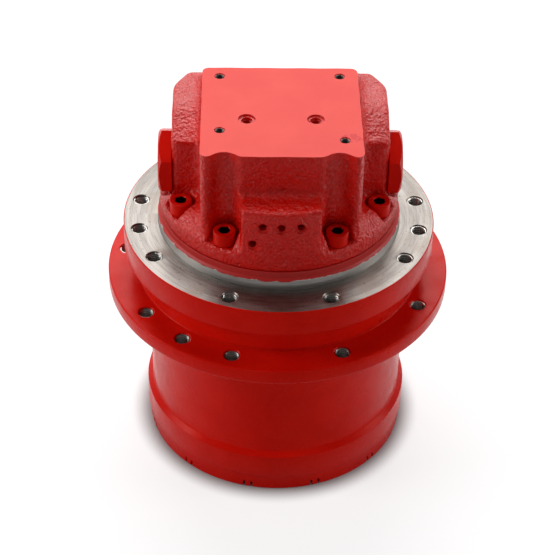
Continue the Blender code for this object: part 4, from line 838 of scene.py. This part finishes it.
def skin(distance, low, high, step):
    """Surface nets: a crossing lies at t = a / (a - b) along an edge from distance a to b."""
    axes = [np.arange(a, b + step, step) for a, b in zip(low, high)]
    field = distance(np.meshgrid(*axes, indexing="ij", sparse=True))
    inside = field < 0
    cubes = tuple(size - 1 for size in field.shape)
    total = np.zeros((*cubes, 3), np.float32)
    count = np.zeros(cubes, np.float32)
    crossed = []
    for axis in range(3):
        near = tuple(slice(None, -1) if k == axis else slice(None) for k in range(3))
        far = tuple(slice(1, None) if k == axis else slice(None) for k in range(3))
        edges = np.argwhere(inside[near] != inside[far])
        first, second = field[near][tuple(edges.T)], field[far][tuple(edges.T)]
        place = edges.astype(np.float32)
        place[:, axis] += first / (first - second)
        others = [k for k in range(3) if k != axis]
        sides = []
        for back in ((1, 1), (0, 1), (0, 0), (1, 0)):
            cube = edges.copy()
            cube[:, others] -= back
            sides.append(cube)
            np.add.at(total, tuple(cube.T), place)
            np.add.at(count, tuple(cube.T), 1)
        flip = inside[near][tuple(edges.T)] ^ (axis == 1)
        crossed.append((np.stack(sides, 1), flip))
    number = np.full(cubes, -1)
    used = count > 0
    number[used] = np.arange(used.sum())
    points = np.array(low) + total[used] / count[used][:, None] * step
    faces = []
    for sides, flip in crossed:
        quads = number[tuple(np.moveaxis(sides, 2, 0))]
        faces.append(np.where(flip[:, None], quads, quads[:, ::-1]))
    return points, np.concatenate(faces)


def settled(points, distance, rounds=3, reach=0.05):
    """Newton steps: p - f(p) g / |g|^2, with the slope g from differences over a short reach."""
    points = points.T.astype(float)
    for _ in range(rounds):
        value = distance(points)
        slope = np.stack([
            (distance(points + reach * axis[:, None]) - value) / reach for axis in np.eye(3)
        ])
        move = value * slope / np.maximum((slope ** 2).sum(0), 0.25)
        points = points - np.clip(move, -0.5, 0.5)
    return points.T


CELL = 1.1
cover_points, cover_faces = skin(cover_distance, (-91.3, -91.3, 198.0), (91.3, 91.3, 289.0), CELL)
cover_points = settled(cover_points, cover_distance)
print("casting skin", len(cover_points), "points", len(cover_faces), "faces")

# %% [markdown]
# ## Motor cover: machining
# What the foundry leaves rough is then machined: the top and the joint face are milled flat, the
# lobes are spot faced for the hexagon plugs, and the holes are drilled. These are real cuts, so
# here they are Booleans with crisp edges.

# %% Motor cover: cuts
TOP_HOLES = [(-44.3, 41.4), (43.7, 42.0), (-43.5, -30.0), (44.3, -41.8)]
PORTS = [(-24.5, -15.5), (24.5, -15.5)]
PAD_HOLES = [(-13.0, 37.0), (0.0, 37.0), (13.5, 37.0), (-20.0, 21.6)]
VALVE_HEIGHT = 237.2
PORT_PROFILE = [
    (0, 262), (3.3, 262), (3.3, 279.5), (4.0, 280.2), (4.0, 281.9), (5.9, 281.9), (6.3, 283.4), (0, 283.4),
]
PAD_HOLE_PROFILE = [(0, -3), (4.5, -3), (4.2, 0.7), (3.3, 1.1), (2.6, 1.8), (2.6, 16), (0, 16)]
VALVE_BORE_PROFILE = [
    (0, -90), (16.5, -90), (16.5, -42), (12.3, -42), (12.3, 42), (16.5, 42), (16.5, 90), (0, 90),
]


def sideways(form, side):
    """Lays a form drawn along +Z along +X or -X: (x, y, z) becomes (side z, side y, valve - x)."""
    points, faces = form
    return np.column_stack([side * points[:, 2], side * points[:, 1], VALVE_HEIGHT - points[:, 0]]), faces


def flat_cut():
    """The slab that the milling cutter takes off above the top face."""
    return prism([(-95, -95), (95, -95), (95, 95), (-95, 95)], TOP_FACE, 292)


def spot_cuts():
    """The two round spot faces that the hexagon plugs seat on."""
    spot = turned([(0, 77.9), (26.4, 77.9), (26.4, 90), (0, 90)], 64, False)
    return together(sideways(spot, -1), sideways(spot, 1))


def drilled_cuts():
    """Tapped corner holes, counterbored ports, countersunk pad holes, screw and valve bores."""
    top = moved(*drilled(3.4, 267, TOP_FACE, 0.6, 32), [(x, y, 0) for x, y in TOP_HOLES])
    ports = moved(*turned(PORT_PROFILE, 40, False), [(x, y, 0) for x, y in PORTS])
    deep, faces = turned(PAD_HOLE_PROFILE, 28, False)
    starts = [(x, -math.sqrt(BASE_RADIUS ** 2 - x * x), BASE_LOW + z) for x, z in PAD_HOLES]
    pad = moved(deep[:, [0, 2, 1]], faces, starts)
    bolt = turned([(0, 200), (5.5, 200), (5.5, 215), (0, 215)], 28, False)
    bolts = on_circle(bolt, SCREW_CIRCLE, SCREW_ANGLES)
    seat = turned([(0, 200), (20, 200), (20, 216.1), (11, 216.1), (11, 219.1), (0, 219.1)], 48, False)
    bore = sideways(turned(VALVE_BORE_PROFILE, 48, False), 1)
    return together(top, ports, pad, bolts, seat, bore)


def cover_slots(centre, normal):
    """Slot 1 is the milled top face, and slot 0 all the rest."""
    chosen = np.zeros(len(centre), int)
    chosen[(centre[:, 2] > TOP_FACE - 0.05) & (normal[:, 2] > 0.9)] = 1
    return chosen


def motor_cover_mesh():
    mesh = mesh_from("cover", cover_points, cover_faces)
    for form in (flat_cut(), spot_cuts(), drilled_cuts()):
        mesh = carved(mesh, form)
    set_slots(mesh, cover_slots)
    return mesh


cover_mesh = motor_cover_mesh()
cover_finishes = [enamel_cast, sheen_painted_top_coat]
finished("cast_motor_cover", cover_mesh, cover_finishes, "frame_side", ["motor_cover"], 38)
top_thread = thread(267.5, 282.5, columns=28, **TOP_THREAD)
top_thread = moved(*top_thread, [(x, y, 0) for x, y in TOP_HOLES])
# Dark oily thread steel; down in these holes its darkness also stands for painted shade.
finished("top_face_threads", mesh_from("top_threads", *top_thread), [oily_and_shaded_thread], "frame_side")

# %% [markdown]
# ## Socket head screws
# Seven M10 screws hold the cover. Each has a round head with a softly rounded edge and a deep
# hexagon socket. They were painted with the cover, but the spray did not reach into the sockets;
# their bare steel is given the dark oily thread steel, which also stands in for painted shade.

# %% Socket head screws


def screw_mesh(angle):
    corners = [(0, 183.7), (4.2, 183.7), (5.0, 184.9), (5.0, 214.0), (8.0, 214.0), (8.0, 224.0), (0, 224.0)]
    body = turned(rounded(corners, [0, 0, 0, 0, 0.3, 1.1, 0]), 64, False)
    socket = prism(hexagon(SOCKET_FLATS), 218.8, 226)
    mouth = turned([(0, 223.45), (4.3, 223.45), (5.2, 224.5), (0, 224.5)], 48, False)
    way = front_angles(angle)
    axis = SCREW_CIRCLE * np.array([math.cos(way), math.sin(way)])

    def socket_slots(centre, normal):
        """Slot 1 is the wall and the floor of the socket: within 5 mm of the axis, below the mouth."""
        near = np.hypot(*(centre[:, :2] - axis).T) < 5
        return near & (centre[:, 2] > 218.5) & (centre[:, 2] < 223.4)

    mesh = mesh_from("screw", *on_circle(body, SCREW_CIRCLE, [angle]))
    for cut in (socket, mouth):
        mesh = carved(mesh, on_circle(cut, SCREW_CIRCLE, [angle]))
    set_slots(mesh, socket_slots)
    return mesh


# Slot 1, the socket, is bare steel and painted shade: the dark oily thread steel darkens the recess.
screw_finishes = [enamel_turned, oily_and_shaded_thread]
for number, angle in enumerate(SCREW_ANGLES, 1):
    screw = screw_mesh(angle)
    replaced = [f"cover_screw_{number}"]
    finished(f"socket_head_screw_{number}", screw, screw_finishes, "frame_side", replaced)

# %% [markdown]
# ## Hexagon plugs
# The counterbalance valve is closed by a plug at each side, 44 mm across the flats. A bar of
# hexagon steel is turned at its outer end, and the turning tool's cone meets the flats in six
# arcs. On the grid, each column ends where the cone meets its own radius.

# %% Hexagon plugs


def plug_form():
    """R(a) as for a hexagon; the cone meets it at x = end - (R(a) - face) tan 30 degrees."""
    columns = 144
    flats, end, face = 44.0, 88.4, 20.6
    angle = np.arange(columns) * 2 * math.pi / columns
    outline = flats / 2 / np.cos(angle % (math.pi / 3) - math.pi / 6)
    meets = end - (outline - face) * math.tan(math.radians(30))
    neck = [(0, 63.0), (16.2, 63.0), (16.2, 78.2)]
    flanks = [(outline - 0.6, 78.2), (outline, 78.8), (outline, meets)]
    rings = neck + flanks + [(face, end), (face - 0.4, end), (0, end)]
    radius = np.stack([np.broadcast_to(ring[0], columns) for ring in rings])
    height = np.stack([np.broadcast_to(ring[1], columns) for ring in rings])
    grid = np.stack([radius * np.cos(angle), radius * np.sin(angle), height], axis=-1)
    return grid.reshape(-1, 3), quads_of(len(radius), columns, False)


for name, side in (("left", -1), ("right", 1)):
    mesh = mesh_from(name + "_plug", *sideways(plug_form(), side))
    replaced = [name + "_hex_plug"]
    finished(name + "_hexagon_plug", mesh, [enamel_turned], "frame_side", replaced, 20)

# %% [markdown]
# ## Pieces inside
# The gears, bearings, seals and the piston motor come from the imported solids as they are. Each
# takes the finish of its real material, by the slot that the record names for it.

# %% Finishes of the inner pieces
slot_finishes = {
    "hardened_steel": hardened,
    "bearing_bronze": bronze,
    "seal_rubber": rubber,
    "ground_steel": ground_steel,
    "machined_paint": enamel_turned,
    "cast_paint": enamel_cast,
}
turned_pieces = ("race", "bearing", "nut", "seal_ring", "block", "motor_shaft", "pin", "swash", "spool")
for entry in frame["record"]["subparts"]:
    name = entry["node"]
    finish = slot_finishes[entry["material_slot"]]
    if finish is hardened and any(word in name for word in turned_pieces):
        finish = turned_steel
    if "spring" in name:
        finish = spring_wire
    nodes[name].data.materials.clear()
    nodes[name].data.materials.append(finish)
print("finished", len(nodes), "solids")

# %% [markdown]
# ## Floor, light and world
# The drive stands on a plain white floor. A large soft light hangs high behind it, in the mirror
# direction of the top face, and smaller ones stand at both sides. Four little lamps low in front
# put a spark on each bump of the casting. The floor and the sky are pure white only where they
# are seen or mirrored, so no extra light falls on the object. The room behind the camera is dark,
# and that is what the front faces mirror: it keeps their red deep.

# %% Floor and lights


def seen_white(tree, forward):
    """1 where the camera or glass sees the surroundings; mirrors see them fade to the dark front."""
    ray = add(tree, "LightPath").outputs
    direct = calculate(tree, "MAXIMUM", ray["Is Camera Ray"], ray["Is Transmission Ray"])
    room = spread(tree, forward, -0.35, 0.05, 0.05, 1.0)
    mirrored = calculate(tree, "MULTIPLY", ray["Is Glossy Ray"], room)
    return calculate(tree, "MAXIMUM", direct, mirrored)


def paper_white():
    """A pale floor, lifted to white where it is seen, except under the drive and in a band of painted shade
    round its foot.
    """
    material, tree, shader, place = new_material("white_paper_floor")
    shader.inputs["Base Color"].default_value = linear("#A4A4A4")
    shader.inputs["Roughness"].default_value = 1.0
    shader.inputs["Specular IOR Level"].default_value = 0.0
    shader.inputs["Emission Color"].default_value = (1, 1, 1, 1)
    away = add(tree, "VectorMath", {"operation": "LENGTH"}, {0: place}).outputs["Value"]
    # Painted shade: no lift in a band round the foot of the drive, so the floor stays darker there.
    near = spread(tree, away, 0.097, 0.118, 0.0, 0.74)
    lift = calculate(tree, "ADD", near, spread(tree, away, 0.8, 3.0, 0.0, 0.26))
    forward = add(tree, "SeparateXYZ", {}, {"Vector": place}).outputs["Y"]
    glow = calculate(tree, "MULTIPLY", seen_white(tree, forward), lift)
    tree.links.new(glow, shader.inputs["Emission Strength"])
    return material


def studio_world():
    """Light of 0.15 on the object, and white of strength 1 where the surroundings are seen."""
    world = bpy.data.worlds.new("studio")
    world.use_nodes = True
    tree = world.node_tree
    way = add(tree, "TexCoord").outputs["Generated"]
    forward = add(tree, "SeparateXYZ", {}, {"Vector": way}).outputs["Y"]
    strength = calculate(tree, "MAXIMUM", seen_white(tree, forward), 0.15)
    tree.links.new(strength, tree.nodes["Background"].inputs["Strength"])
    tree.nodes["Background"].inputs["Color"].default_value = (1, 1, 1, 1)
    bpy.context.scene.world = world


def soft_light(name, place, aim, size, power):
    """A square area light that looks at a point; its power is in watts."""
    data = bpy.data.lights.new(name, "AREA")
    data.shape = "SQUARE"
    data.size = size
    data.energy = power
    lamp = bpy.data.objects.new(name, data)
    lamp.location = place
    lamp.rotation_euler = (Vector(aim) - Vector(place)).to_track_quat("-Z", "Y").to_euler()
    bpy.context.scene.collection.objects.link(lamp)
    return lamp


FLOOR_HALF = 6000
floor_corners = FLOOR_HALF * np.array([(-1, -1), (1, -1), (1, 1), (-1, 1)])
floor_mesh = mesh_from("floor", *prism(floor_corners, -20, -0.05))
floor_mesh.materials.append(paper_white())
floor = bpy.data.objects.new("floor", floor_mesh)
bpy.context.scene.collection.objects.link(floor)
studio_world()
soft_light("back_overhead", (-0.1, 1.35, 1.75), (0, 0, 0.25), 1.7, 37)
soft_light("left_side", (-1.5, -0.15, 0.9), (0, 0, 0.15), 0.6, 11)
LOW_LAMPS = {
    "left": (-0.20, -0.80, 0.10),
    "right": (0.26, -0.78, 0.10),
    "far_left": (-0.62, -0.50, 0.10),
    "far_right": (0.60, -0.48, 0.10),
}
for side, place in LOW_LAMPS.items():
    soft_light(side + "_low", place, (0, 0, 0.24), 0.060, 0.27)
soft_light("right_side", (1.6, 0.0, 0.8), (0, 0, 0.15), 0.6, 7)

# %% Colour management
bpy.context.scene.view_settings.view_transform = "Standard"
